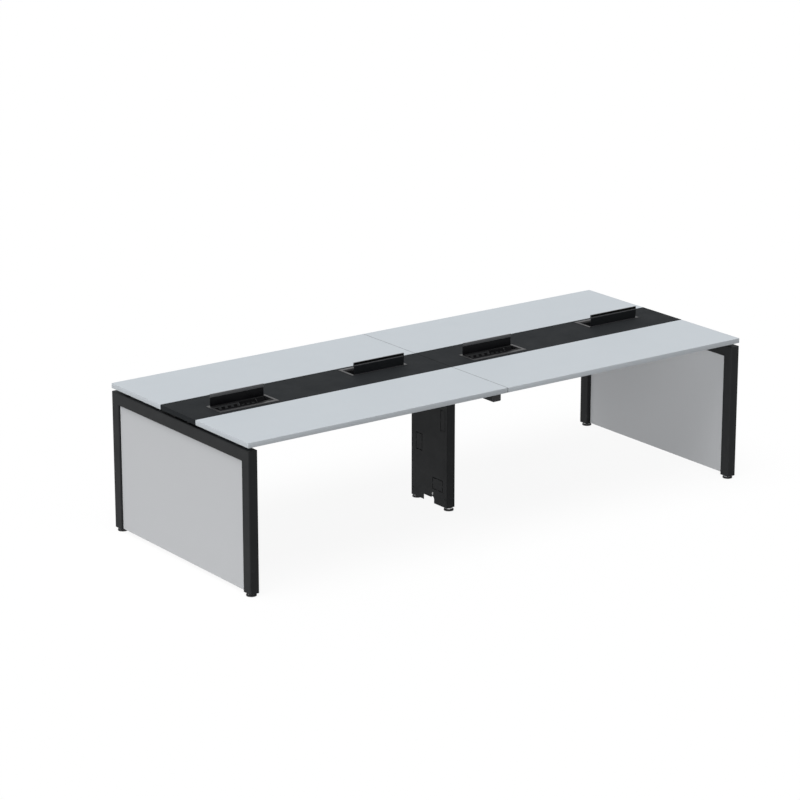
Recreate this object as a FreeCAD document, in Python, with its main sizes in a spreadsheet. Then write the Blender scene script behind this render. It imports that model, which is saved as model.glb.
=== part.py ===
import FreeCAD, Part
import Sketcher
import os
from types import SimpleNamespace

# Four-person bench desk.
# X runs along the desk, Y from the front users to the rear users, Z up.
# The origin is on the floor under the middle of the desk. All sizes are in millimetres.

SIZES = {
    # boards
    "bay_length": 1500,            # length of the desk from its middle to one end
    "top_depth": 1200,             # front edge to rear edge
    "top_height": 750,             # floor to the top of the boards
    "board_thickness": 25,
    "edge_band": 2,                # thickness of the band glued round each worktop
    "joint_gap": 1,                # gap between two boards
    "spine_width": 306,            # middle strip between the front and rear worktops
    # frame
    "standoff_height": 15,         # gap between the frame and the boards
    "standoff_radius": 9,
    "tube_face": 60,               # width of an end frame's tube as seen from the end
    "tube_depth": 50,              # width of the same tube along the desk
    "tube_wall": 2,
    "tube_radius": 5,              # outer corner radius of the tubes
    "foot_drop": 15,               # floor to the bottom of the legs
    "beam_side": 50,               # square tube of the beams
    "cross_beam_reach": 511,       # half the length of the cross-beam
    # end panels
    "panel_thickness": 16,
    "panel_recess": 10,            # panel set back from the outer face of its frame
    "panel_gap": 1,                # clearance of the panel in its frame
    "panel_rise": 3,               # panel's lower edge above the bottom of the legs
    "pin_radius": 4,
    "pin_length": 30,
    "pin_bite": 17,                # depth of the pin in the panel
    "pin_play": 0.1,
    "pin_rise": 60,                # least distance from a pin to the panel's ends
    "pin_pitch": 250,
    # feet
    "foot_radius": 25,
    "foot_base": 8,
    "foot_edge": 2,                # bevel round the upper edge of the base
    "collar_radius": 18,
    "collar_play": 0.3,            # collar to the bottom of the leg
    "stem_radius": 5,
    "stem_length": 40,
    "stem_play": 0.1,
    "plug_height": 28,
    "cap_height": 3,               # part of a beam's end cap that shows
    "cap_depth": 20,
    # cable riser
    "riser_reach": 147.5,          # half the width of the riser
    "riser_sheet": 1.5,
    "post_face": 30,
    "arch_width": 86,
    "arch_height": 34,
    "arch_radius": 14,
    "window_width": 140,
    "window_height": 70,
    "window_drop": 12,             # window's upper edge below the top of the riser
    "slot_width": 4,               # slot that outlines a knock-out
    "slot_bridge": 8,              # metal left between two slots
    "upper_port_width": 40,
    "upper_port_height": 110,
    "upper_port_side": -114,       # middle of the port, forward of the riser's middle
    "upper_port_rise": 395,        # port's lower edge above the bottom of the riser
    "middle_port_width": 53,
    "middle_port_height": 90,
    "middle_port_side": 84,
    "middle_port_rise": 251,
    "lower_port_width": 86,
    "lower_port_height": 63,
    "lower_port_side": -72,
    "lower_port_rise": 74,
    "riser_screw_rise": 40,        # lowest and highest riser screw from the riser's ends
    "riser_screw_bite": 8,
    "earth_side": -30,             # earth stud, forward of the riser's middle
    "earth_rise": 53,              # earth stud above the bottom of the riser
    "earth_nut_radius": 6,
    "earth_nut": 4,
    # long beams
    "plate_thickness": 4,
    "plate_length": 110,
    "bolt_side": 40,               # bolt to the middle of its beam
    "bolt_radius": 4,
    "bolt_play": 0.2,
    "bolt_head_radius": 6.5,
    "bolt_head": 5,
    "bolt_bite": 9,                # shank past the outer face of the tube wall
    # cable trays
    "tray_sheet": 1.5,
    "tray_height": 100,
    "tray_drop": 10,               # tray's upper edge below the top of the beams
    "tray_end_gap": 25,            # tray to the end plates of the beams
    "tray_screw_drop": 15,         # screw below the tray's upper edge
    "tray_screw_pitch": 550,
    "tray_screw_inset": 80,        # least distance from a screw to the tray's ends
    "small_screw_radius": 2.5,
    "small_screw_play": 0.1,
    "small_head_radius": 5,
    "small_head": 2.5,
    "small_screw_bite": 8,
    # screws that hold the boards
    "screw_radius": 3,
    "screw_play": 0.1,
    "screw_head_radius": 6,
    "screw_head": 4,
    "screw_bite": 15,              # depth of a screw in its board
    "access_radius": 8,            # hole under a screw for the driver
    "outer_screw_inset": 110,      # outer screws from the front edge of the top
    "cross_screw_inset": 60,       # outer screws from the end of the cross-beam
    "inner_screw_inset": 65,       # inner screws from the edge of the spine
    "spine_screw_side": 60,        # spine screws from the middle of the desk
    "cross_screw_side": 14,        # screws to the middle of the cross-beam
    "beam_screw_side": 13,         # screws to the middle of a long beam
    "beam_screw_reach": 350,       # long beam's screws to the middle of the bay
    # access flaps
    "flap_offset": 428,            # middle of a flap to the middle of its bay
    "bezel_length": 336,
    "bezel_back": 6,               # rear edge of the bezel from the middle of the desk
    "bezel_front": 130,            # front edge of the bezel from the middle of the desk
    "bezel_lip": 2.5,              # height of the bezel above the boards
    "mouth_length": 306,
    "mouth_back": 15.5,
    "mouth_front": 86,
    "collar_wall": 4,
    "collar_gap": 3,               # collar's lower edge above the underside of the spine
    "cutout_gap": 0.5,
    "hinge_side": 20,              # hinge axis from the middle of the desk
    "barrel_radius": 4,
    "hinge_pin_radius": 2,
    "hinge_pin_length": 3.5,
    "hinge_play": 0.05,
    "lid_side_gap": 1.5,
    "lid_front_gap": 2,
    "lid_thickness": 3,
    "lid_open_angle": 93,
    "nose_width": 17,              # thick edge of the lid
    "nose_thickness": 8,
    "brush_width": 12,
    "brush_thickness": 3,
    "box_wall": 1.5,
    "box_height": 70,
    "box_flange": 10,
    "gland_radius": 14,
    "gland_bore": 10,
    "gland_length": 12,
    "gland_side": 100,             # cable gland from the middle of the flap
    "strip_width": 46,
    "strip_thickness": 10,
    "strip_angle": 42,             # slope of the socket strip down towards the user
    "strip_back_gap": 11.5,        # strip's upper edge from the rear of the mouth
    "strip_drop": 1.2,             # strip's upper edge below the boards
    "socket_side": 28,
    "socket_pitch": 34.5,
    "socket_depth": 3,
    "socket_inset": 28,            # first socket's middle from the end of the strip
    "socket_row": 18,              # middle of the sockets from the strip's upper edge
    "contact_radius": 2.5,
    "contact_depth": 4,
    "contact_spread": 7,           # contact holes from the middle of a socket
    "data_length": 22,
    "data_width": 28,
    "data_depth": 3,
    "data_pitch": 29,
    "data_inset": 75,              # first data port's middle from the strip's other end
}

SOCKETS = 4
DATA_PORTS = 3

doc = FreeCAD.newDocument("BenchDesk")
sheet = doc.addObject("Spreadsheet::Sheet", "Sizes")
for row, (alias, number) in enumerate(SIZES.items(), start=1):
    sheet.set(f"A{row}", alias)
    sheet.set(f"B{row}", str(number))
    sheet.setAlias(f"B{row}", alias)
doc.recompute()


class Size:
    """A length that keeps its formula, so that what is bound to it follows the sheet."""

    def __init__(self, text, value):
        self.text = text
        self.value = value

    def __add__(self, other):
        other = size(other)
        return Size(f"({self.text} + {other.text})", self.value + other.value)

    def __sub__(self, other):
        other = size(other)
        return Size(f"({self.text} - {other.text})", self.value - other.value)

    def __mul__(self, other):
        other = size(other)
        return Size(f"({self.text} * {other.text})", self.value * other.value)

    def __truediv__(self, other):
        other = size(other)
        return Size(f"({self.text} / {other.text})", self.value / other.value)

    def __neg__(self):
        return Size(f"(0 - {self.text})", -self.value)


def size(number):
    return number if isinstance(number, Size) else Size(str(number), float(number))


def how_many(room, margin, pitch):
    """How many pieces stand at a pitch in a room with a margin at both ends."""
    return int((room.value - 2 * margin.value) / pitch.value) + 1


def at_least(first, second):
    return Size(f"max({first.text}; {second.text})", max(first.value, second.value))


S = SimpleNamespace(**{alias: Size(f"Sizes.{alias}", float(getattr(sheet, alias))) for alias in SIZES})
ZERO = size(0)
LITTLE = size(0.5)
PAST = size(5)


# Helpers that make bound document objects

ALONG = {
    "x": FreeCAD.Rotation(FreeCAD.Vector(0, 1, 0), 90),
    "y": FreeCAD.Rotation(FreeCAD.Vector(1, 0, 0), -90),
    "z": FreeCAD.Rotation(),
}


def put(thing, x, y, z, turn=None):
    if turn is not None:
        thing.Placement = FreeCAD.Placement(FreeCAD.Vector(), turn)
    for axis, place in zip("xyz", (x, y, z)):
        thing.setExpression(f"Placement.Base.{axis}", size(place).text)
    return thing


def box(name, x, y, z):
    """A block from pairs of low and high faces."""
    block = doc.addObject("Part::Box", name)
    for edge, (low, high) in zip(("Length", "Width", "Height"), (x, y, z)):
        block.setExpression(edge, (size(high) - low).text)
    return put(block, x[0], y[0], z[0])


def rod(name, axis, radius, x, y, z):
    """A round rod along an axis; the pair among x, y and z gives its two ends."""
    low, high = {"x": x, "y": y, "z": z}[axis]
    start = [low if axis == letter else place for letter, place in zip("xyz", (x, y, z))]
    round_bar = doc.addObject("Part::Cylinder", name)
    round_bar.setExpression("Radius", size(radius).text)
    round_bar.setExpression("Height", (size(high) - low).text)
    return put(round_bar, *start, ALONG[axis])


def group(name, members):
    bundle = doc.addObject("Part::Compound", name)
    bundle.Links = members
    return bundle


def fuse(name, members):
    whole = doc.addObject("Part::MultiFuse", name)
    whole.Shapes = members
    return whole


def cut(name, base, tools):
    rest = doc.addObject("Part::Cut", name)
    rest.Base = base
    rest.Tool = tools[0] if len(tools) == 1 else group(f"{name}_tools", tools)
    return rest


def mirror(name, source, axis):
    image = doc.addObject("Part::Mirroring", name)
    image.Source = source
    image.Normal = {"x": FreeCAD.Vector(1, 0, 0), "y": FreeCAD.Vector(0, 1, 0)}[axis]
    return image


def copy_to(name, source, x, y, z, turn=None):
    return put(group(name, [source]), x, y, z, turn)


def four_ways(name, source):
    """A quarter of the desk and its three images."""
    other_side = mirror(f"{name}_rear", source, "y")
    both = group(f"{name}_left", [source, other_side])
    return group(name, [both, mirror(f"{name}_right", both, "x")])


def sketch_on(body, name, role):
    drawing = body.newObject("Sketcher::SketchObject", name)
    drawing.AttachmentSupport = (next(p for p in body.Origin.OriginFeatures if p.Role == role), [""])
    drawing.MapMode = "FlatFace"
    return drawing


def outline(drawing, corners):
    """A closed outline; each corner is bound to its two distances from the sketch's origin."""
    first = drawing.GeometryCount
    count = len(corners)
    points = [FreeCAD.Vector(across.value, up.value, 0) for across, up in corners]
    for index in range(count):
        drawing.addGeometry(Part.LineSegment(points[index], points[(index + 1) % count]))
    for index in range(count):
        following = first + (index + 1) % count
        drawing.addConstraint(Sketcher.Constraint("Coincident", first + index, 2, following, 1))
    for index, corner in enumerate(corners):
        for kind, axis, distance in zip(("DistanceX", "DistanceY"), (-2, -1), corner):
            if distance is ZERO:
                drawing.addConstraint(Sketcher.Constraint("PointOnObject", first + index, 1, axis))
                continue
            number = drawing.addConstraint(
                Sketcher.Constraint(kind, -1, 1, first + index, 1, distance.value))
            drawing.setExpression(f"Constraints[{number}]", distance.text)


def bar(name, across, deep, length, radius, notches=()):
    """A bar along its own Z with rounded long edges, and triangles cut from its ends."""
    body = doc.addObject("PartDesign::Body", name)
    section = sketch_on(body, f"{name}_section", "XY_Plane")
    outline(section, [(ZERO, ZERO), (across, ZERO), (across, deep), (ZERO, deep)])
    pad = body.newObject("PartDesign::Pad", f"{name}_pad")
    pad.Profile = section
    pad.setExpression("Length", length.text)
    doc.recompute()
    upright = [
        f"Edge{number}"
        for number, edge in enumerate(pad.Shape.Edges, start=1)
        if abs(edge.tangentAt(edge.FirstParameter).z) > 0.9
    ]
    rounding = body.newObject("PartDesign::Fillet", f"{name}_rounding")
    rounding.Base = (pad, upright)
    rounding.setExpression("Radius", radius.text)
    body.Tip = rounding
    for number, corners in enumerate(notches, start=1):
        doc.recompute()
        before = body.Shape.Volume
        wedge = sketch_on(body, f"{name}_mitre_{number}", "YZ_Plane")
        outline(wedge, corners)
        pocket = body.newObject("PartDesign::Pocket", f"{name}_pocket_{number}")
        pocket.Profile = wedge
        pocket.Type = "ThroughAll"
        pocket.Reversed = True
        body.Tip = pocket
        doc.recompute()
        if not body.Shape.Volume < before - 1:
            raise RuntimeError(f"{name}: the mitre cut nothing")
    return body


def tube(name, across, deep, length, notches=()):
    inner_radius = at_least(S.tube_radius - S.tube_wall, LITTLE)
    outside = bar(f"{name}_outside", across, deep, length, S.tube_radius, notches)
    inside = bar(f"{name}_inside", across - S.tube_wall * 2, deep - S.tube_wall * 2,
                 length + PAST * 2, inner_radius)
    put(inside, S.tube_wall, S.tube_wall, -PAST)
    return cut(f"{name}_hollow", outside, [inside])


nodes = []


def node(thing, label):
    thing.Label = label
    nodes.append(thing)
    return thing


# Planes that the pieces share

half_gap = S.joint_gap / 2
board_under = S.top_height - S.board_thickness
frame_top = board_under - S.standoff_height
beam_under = frame_top - S.beam_side
rail_under = frame_top - S.tube_face
left_end = -S.bay_length
front_edge = -(S.top_depth / 2)
rail_inner = left_end + S.tube_depth
leg_inner = front_edge + S.tube_face
beam_line = -(S.spine_width / 2)
half_beam = S.beam_side / 2
bay_middle = -(S.bay_length / 2)


# Where the boards are screwed down, for the front left quarter

rail_line = left_end + S.tube_depth / 2
cross_line = -S.cross_screw_side
outer_line = front_edge + S.outer_screw_inset
cross_outer_line = -(S.cross_beam_reach - S.cross_screw_inset)
inner_line = beam_line - S.inner_screw_inset
spine_line = -S.spine_screw_side
beam_screw_places = [bay_middle - S.beam_screw_reach, bay_middle + S.beam_screw_reach]

rail_screws = [(rail_line, outer_line), (rail_line, inner_line), (rail_line, spine_line)]
cross_screws = [(cross_line, cross_outer_line), (cross_line, inner_line), (cross_line, spine_line)]
beam_worktop_screws = [(along, beam_line - S.beam_screw_side) for along in beam_screw_places]
beam_spine_screws = [(along, beam_line + S.beam_screw_side) for along in beam_screw_places]
worktop_screws = rail_screws[:2] + cross_screws[:2] + beam_worktop_screws
spine_screws = rail_screws[2:] + cross_screws[2:] + beam_spine_screws


def upright_holes(name, places, radius, low, high):
    return [rod(f"{name}_{number}", "z", radius, x, y, (low, high))
            for number, (x, y) in enumerate(places, start=1)]


# Worktops and their edge bands

outer_x = (left_end, -half_gap)
outer_y = (front_edge, beam_line - half_gap)
board_z = (board_under, S.top_height)
core_x = (outer_x[0] + S.edge_band, outer_x[1] - S.edge_band)
core_y = (outer_y[0] + S.edge_band, outer_y[1] - S.edge_band)

core = box("worktop_core", core_x, core_y, board_z)
pilots = upright_holes("worktop_pilot", worktop_screws, S.screw_radius + S.screw_play,
                       board_under - PAST, board_under + S.screw_bite + LITTLE)
worktop = node(cut("worktop_front_left", core, pilots), "worktop_front_left")
node(mirror("worktop_front_right", worktop, "x"), "worktop_front_right")
worktop_rear = node(mirror("worktop_rear_left", worktop, "y"), "worktop_rear_left")
node(mirror("worktop_rear_right", worktop_rear, "x"), "worktop_rear_right")

band_hollow = box("band_hollow", core_x, core_y, (board_under - PAST, S.top_height + PAST))
band = cut("band_quarter", box("band_block", outer_x, outer_y, board_z), [band_hollow])
node(four_ways("edge_bands", band), "edge_bands")


# Spine panels

spine_half = S.spine_width / 2 - half_gap
spine_block = box("spine_block", outer_x, (-spine_half, spine_half), board_z)
spine_pilots = upright_holes("spine_pilot", spine_screws, S.screw_radius + S.screw_play,
                             board_under - PAST, board_under + S.screw_bite + LITTLE)
spine_pilots_front = group("spine_pilots_front", spine_pilots)
hole_half = S.mouth_length / 2 + S.collar_wall + S.cutout_gap
hole_back = S.mouth_back - S.collar_wall - S.cutout_gap
hole_front = S.mouth_front + S.collar_wall + S.cutout_gap
hole_z = (board_under - PAST, S.top_height + PAST)
front_flap = bay_middle - S.flap_offset
rear_flap = bay_middle + S.flap_offset
front_hole = box("spine_front_hole", (front_flap - hole_half, front_flap + hole_half),
                 (-hole_front, -hole_back), hole_z)
rear_hole = box("spine_rear_hole", (rear_flap - hole_half, rear_flap + hole_half),
                (hole_back, hole_front), hole_z)
spine_cuts = [front_hole, rear_hole, spine_pilots_front,
              mirror("spine_pilots_rear", spine_pilots_front, "y")]
spine_left = node(cut("spine_panel_left", spine_block, spine_cuts), "spine_panel_left")
spine_turned = mirror("spine_turned", spine_left, "x")
node(mirror("spine_panel_right", spine_turned, "y"), "spine_panel_right")


# Stand-offs and the screws through them

spacer_blank = rod("spacer_blank", "z", S.standoff_radius, 0, 0, (ZERO, S.standoff_height))
spacer_bore = rod("spacer_bore", "z", S.screw_radius + S.screw_play, 0, 0,
                  (-PAST, S.standoff_height + PAST))
spacer = cut("spacer", spacer_blank, [spacer_bore])
shank_top = S.tube_wall + S.standoff_height + S.screw_bite
board_screw = fuse("board_screw", [
    rod("board_screw_head", "z", S.screw_head_radius, 0, 0, (-S.screw_head, ZERO)),
    rod("board_screw_shank", "z", S.screw_radius, 0, 0, (-(S.screw_head / 2), shank_top)),
])
screw_places = worktop_screws + spine_screws
spacers = group("spacers", [copy_to(f"spacer_{n}", spacer, x, y, frame_top)
                            for n, (x, y) in enumerate(screw_places, start=1)])
board_screws = group("board_screws", [copy_to(f"board_screw_{n}", board_screw, x, y,
                                              frame_top - S.tube_wall)
                                      for n, (x, y) in enumerate(screw_places, start=1)])
node(four_ways("standoffs", spacers), "standoffs")
node(four_ways("top_screws", board_screws), "top_screws")


def screw_passages(name, places, tube_under):
    """A screw's hole in the upper wall of a tube and the driver's hole in the lower wall."""
    holes = upright_holes(f"{name}_screw_hole", places, S.screw_radius + S.screw_play,
                          frame_top - S.tube_wall - LITTLE, frame_top + PAST)
    access = upright_holes(f"{name}_access", places, S.access_radius,
                           tube_under - PAST, tube_under + S.tube_wall + LITTLE)
    return group(f"{name}_passages", holes + access)


# End frames

leg_length = frame_top - S.foot_drop
leg_mitre = [(ZERO, leg_length + ZERO), (S.tube_face, leg_length - S.tube_face),
             (S.tube_face, leg_length + ZERO)]
leg_tube = put(tube("leg", S.tube_depth, S.tube_face, leg_length, [leg_mitre]),
               left_end, front_edge, S.foot_drop)
panel_under = S.foot_drop + S.panel_rise
pin_line = left_end + S.panel_recess + S.panel_thickness / 2
panel_top = rail_under - S.panel_gap
pin_count = how_many(panel_top - panel_under, S.pin_rise, S.pin_pitch)
pin_levels = [panel_under + S.pin_rise + S.pin_pitch * step for step in range(pin_count)]
pin_tip = leg_inner + S.panel_gap + S.pin_bite
pin_start = pin_tip - S.pin_length
leg_pin_holes = [rod(f"leg_pin_hole_{n}", "y", S.pin_radius + S.pin_play, pin_line,
                     (leg_inner - S.tube_wall - LITTLE, leg_inner + PAST), level)
                 for n, level in enumerate(pin_levels, start=1)]
leg = node(cut("leg_front_left", leg_tube, leg_pin_holes), "leg_front_left")
node(mirror("leg_front_right", leg, "x"), "leg_front_right")
leg_rear = node(mirror("leg_rear_left", leg, "y"), "leg_rear_left")
node(mirror("leg_rear_right", leg_rear, "x"), "leg_rear_right")

rail_mitres = [
    [(ZERO, ZERO), (S.tube_face, ZERO), (S.tube_face, S.tube_face + ZERO)],
    [(ZERO, S.top_depth), (S.tube_face, S.top_depth - S.tube_face), (S.tube_face, S.top_depth)],
]
rail_tube = put(tube("rail", S.tube_depth, S.tube_face, S.top_depth, rail_mitres),
                left_end, front_edge, frame_top, ALONG["y"])
rail_front_holes = screw_passages("rail_front", rail_screws, rail_under)
bolt_level = frame_top - half_beam
bolt_lines = [beam_line - S.bolt_side, beam_line + S.bolt_side]
rail_bolt_holes = group("rail_bolt_holes", [
    rod(f"rail_bolt_hole_{n}", "x", S.bolt_radius + S.bolt_play,
        (rail_inner - S.tube_wall - LITTLE, rail_inner + PAST), line, bolt_level)
    for n, line in enumerate(bolt_lines, start=1)])
rail_cuts = [rail_front_holes, mirror("rail_rear_holes", rail_front_holes, "y"),
             rail_bolt_holes, mirror("rail_rear_bolt_holes", rail_bolt_holes, "y")]
rail = node(cut("top_rail_left", rail_tube, rail_cuts), "top_rail_left")
node(mirror("top_rail_right", rail, "x"), "top_rail_right")


# End panels and their pins

panel_half = S.top_depth / 2 - S.tube_face - S.panel_gap
panel_x = (left_end + S.panel_recess, left_end + S.panel_recess + S.panel_thickness)
panel_blank = box("panel_blank", panel_x, (-panel_half, panel_half),
                  (panel_under, panel_top))
panel_pin_holes = group("panel_pin_holes", [
    rod(f"panel_pin_hole_{n}", "y", S.pin_radius + S.pin_play, pin_line,
        (-panel_half - PAST, pin_tip + LITTLE), level)
    for n, level in enumerate(pin_levels, start=1)])
panel_cuts = [panel_pin_holes, mirror("panel_rear_pin_holes", panel_pin_holes, "y")]
end_panel = node(cut("end_panel_left", panel_blank, panel_cuts), "end_panel_left")
node(mirror("end_panel_right", end_panel, "x"), "end_panel_right")
quarter_pins = group("quarter_pins", [
    rod(f"panel_pin_{n}", "y", S.pin_radius, pin_line, (pin_start, pin_tip), level)
    for n, level in enumerate(pin_levels, start=1)])
node(four_ways("panel_pins", quarter_pins), "panel_pins")


# Cable riser: two posts between two side sheets

post_across = S.beam_side - S.riser_sheet * 2
post_length = beam_under - S.foot_drop
post_front = -S.riser_reach
post_middle = post_front + S.post_face / 2
riser_left = -half_beam
post_tube = put(tube("post", post_across, S.post_face, post_length),
                riser_left + S.riser_sheet, post_front, S.foot_drop)
riser_screw_levels = [S.foot_drop + S.riser_screw_rise, beam_under - S.riser_screw_rise]
riser_screw_tip = riser_left + S.riser_sheet + S.riser_screw_bite
small_hole = S.small_screw_radius + S.small_screw_play


def riser_screw_holes(name, line):
    return group(name, [
        rod(f"{name}_{n}", "x", small_hole, (riser_left - PAST, riser_screw_tip + LITTLE), line, level)
        for n, level in enumerate(riser_screw_levels, start=1)])


post_holes = riser_screw_holes("post_holes", post_middle)
post_cuts = [post_holes, mirror("post_holes_right", post_holes, "x")]
post = node(cut("centre_post_front", post_tube, post_cuts), "centre_post_front")
node(mirror("centre_post_rear", post, "y"), "centre_post_rear")

sheet_x = (riser_left, riser_left + S.riser_sheet)
through_x = (riser_left - PAST, riser_left + S.riser_sheet + PAST)
side_blank = box("side_blank", sheet_x, (post_front, -post_front), (S.foot_drop, beam_under))


def knock_out(name, width, height, side, rise):
    """Four corner slots that outline a piece which can be pushed out."""
    low = S.foot_drop + rise
    span_y = (side - width / 2, side + width / 2)
    span_z = (low, low + height)
    inner_y = (span_y[0] + S.slot_width, span_y[1] - S.slot_width)
    inner_z = (span_z[0] + S.slot_width, span_z[1] - S.slot_width)
    wide = box(f"{name}_wide", through_x, span_y, span_z)
    kept = box(f"{name}_kept", (through_x[0] - PAST, through_x[1] + PAST), inner_y, inner_z)
    half_bridge = S.slot_bridge / 2
    upright = box(f"{name}_upright", (through_x[0] - PAST, through_x[1] + PAST),
                  (side - half_bridge, side + half_bridge), (span_z[0] - PAST, span_z[1] + PAST))
    middle = low + height / 2
    level = box(f"{name}_level", (through_x[0] - PAST, through_x[1] + PAST),
                (span_y[0] - PAST, span_y[1] + PAST), (middle - half_bridge, middle + half_bridge))
    return cut(name, wide, [fuse(f"{name}_stays", [kept, upright, level])])


earth_level = S.foot_drop + S.earth_rise
half_arch = S.arch_width / 2
arch_top = S.foot_drop + S.arch_height
arch_corner = half_arch - S.arch_radius
arch = fuse("arch", [
    box("arch_low", through_x, (-half_arch, half_arch), (S.foot_drop - PAST, arch_top - S.arch_radius)),
    box("arch_high", through_x, (-arch_corner, arch_corner), (S.foot_drop - PAST, arch_top)),
    rod("arch_front_corner", "x", S.arch_radius, through_x, -arch_corner, arch_top - S.arch_radius),
    rod("arch_rear_corner", "x", S.arch_radius, through_x, arch_corner, arch_top - S.arch_radius),
])
window_top = beam_under - S.window_drop
half_window = S.window_width / 2
side_cuts = [
    arch,
    box("window", through_x, (-half_window, half_window), (window_top - S.window_height, window_top)),
    knock_out("upper_port", S.upper_port_width, S.upper_port_height, S.upper_port_side,
              S.upper_port_rise),
    knock_out("middle_port", S.middle_port_width, S.middle_port_height, S.middle_port_side,
              S.middle_port_rise),
    knock_out("lower_port", S.lower_port_width, S.lower_port_height, S.lower_port_side,
              S.lower_port_rise),
    rod("earth_hole", "x", small_hole, through_x, S.earth_side, earth_level),
    riser_screw_holes("side_front_holes", post_middle),
    riser_screw_holes("side_rear_holes", -post_middle),
]
side = node(cut("riser_panel_left", side_blank, side_cuts), "riser_panel_left")
node(mirror("riser_panel_right", side, "x"), "riser_panel_right")


# Cross-beam over the riser

cross_tube = put(tube("cross_beam", S.beam_side, S.beam_side, S.cross_beam_reach * 2),
                 -half_beam, -S.cross_beam_reach, frame_top, ALONG["y"])
cross_quarter = group("cross_quarter", [
    screw_passages("cross", cross_screws, beam_under),
    group("cross_bolt_holes", [
        rod(f"cross_bolt_hole_{n}", "x", S.bolt_radius + S.bolt_play,
            (-half_beam - PAST, -half_beam + S.tube_wall + LITTLE), line, bolt_level)
        for n, line in enumerate(bolt_lines, start=1)]),
])
cross_beam = cut("centre_cross_beam", cross_tube, [four_ways("cross_holes", cross_quarter)])
node(cross_beam, "centre_cross_beam")


# Long beams with their end plates and bolts

beam_start = rail_inner + S.plate_thickness
beam_end = -half_beam - S.plate_thickness
beam_tube = put(tube("beam", S.beam_side, S.beam_side, beam_end - beam_start),
                beam_start, beam_line - half_beam, frame_top, ALONG["x"])
tray_top = frame_top - S.tray_drop
tray_screw_level = tray_top - S.tray_screw_drop
tray_face = beam_line + half_beam
tray_x = (beam_start + S.tray_end_gap, beam_end - S.tray_end_gap)
tray_screw_count = how_many(tray_x[1] - tray_x[0], S.tray_screw_inset, S.tray_screw_pitch)
tray_middle = (tray_x[0] + tray_x[1]) / 2
tray_screw_places = [tray_middle + S.tray_screw_pitch * (step - (tray_screw_count - 1) / 2)
                     for step in range(tray_screw_count)]
beam_tray_holes = [rod(f"beam_tray_hole_{n}", "y", small_hole, place,
                       (tray_face - S.tube_wall - LITTLE, tray_face + PAST), tray_screw_level)
                   for n, place in enumerate(tray_screw_places, start=1)]
beam_cuts = [screw_passages("beam", beam_worktop_screws + beam_spine_screws, beam_under),
             group("beam_tray_holes", beam_tray_holes)]
beam = node(cut("beam_front_left", beam_tube, beam_cuts), "beam_front_left")
node(mirror("beam_front_right", beam, "x"), "beam_front_right")
beam_rear = node(mirror("beam_rear_left", beam, "y"), "beam_rear_left")
node(mirror("beam_rear_right", beam_rear, "x"), "beam_rear_right")

plate_y = (beam_line - S.plate_length / 2, beam_line + S.plate_length / 2)
plate_z = (beam_under, frame_top)
plates = []
bolts = []
for end, plate_x in (("outer", (rail_inner, beam_start)), ("inner", (beam_end, -half_beam))):
    plate_holes = [rod(f"{end}_plate_hole_{n}", "x", S.bolt_radius + S.bolt_play,
                       (plate_x[0] - PAST, plate_x[1] + PAST), line, bolt_level)
                   for n, line in enumerate(bolt_lines, start=1)]
    plates.append(cut(f"{end}_plate", box(f"{end}_plate_blank", plate_x, plate_y, plate_z), plate_holes))
    if end == "outer":
        head_x = (beam_start, beam_start + S.bolt_head)
        shank_x = (rail_inner - S.tube_wall - S.bolt_bite, beam_start + S.bolt_head / 2)
    else:
        head_x = (beam_end - S.bolt_head, beam_end)
        shank_x = (beam_end - S.bolt_head / 2, -half_beam + S.tube_wall + S.bolt_bite)
    for n, line in enumerate(bolt_lines, start=1):
        bolts.append(fuse(f"{end}_bolt_{n}", [
            rod(f"{end}_bolt_head_{n}", "x", S.bolt_head_radius, head_x, line, bolt_level),
            rod(f"{end}_bolt_shank_{n}", "x", S.bolt_radius, shank_x, line, bolt_level),
        ]))
node(four_ways("beam_end_plates", group("quarter_plates", plates)), "beam_end_plates")
node(four_ways("beam_bolts", group("quarter_bolts", bolts)), "beam_bolts")


# Cable trays between the long beams

tray_under = tray_top - S.tray_height
tray_block = box("tray_block", tray_x, (tray_face, -tray_face), (tray_under, tray_top))
tray_room = box("tray_room", (tray_x[0] - PAST, tray_x[1] + PAST),
                (tray_face + S.tray_sheet, -tray_face - S.tray_sheet),
                (tray_under + S.tray_sheet, tray_top + PAST))
tray_holes = group("tray_holes", [
    rod(f"tray_hole_{n}", "y", small_hole, place,
        (tray_face - PAST, tray_face + S.tray_sheet + LITTLE), tray_screw_level)
    for n, place in enumerate(tray_screw_places, start=1)])
tray_hollow = cut("tray_hollow", tray_block, [tray_room])
tray = node(cut("cable_tray_left", tray_hollow, [tray_holes, mirror("tray_rear_holes", tray_holes, "y")]),
            "cable_tray_left")
node(mirror("cable_tray_right", tray, "x"), "cable_tray_right")


# Pan-head screws of the trays and of the riser's sheets

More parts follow.
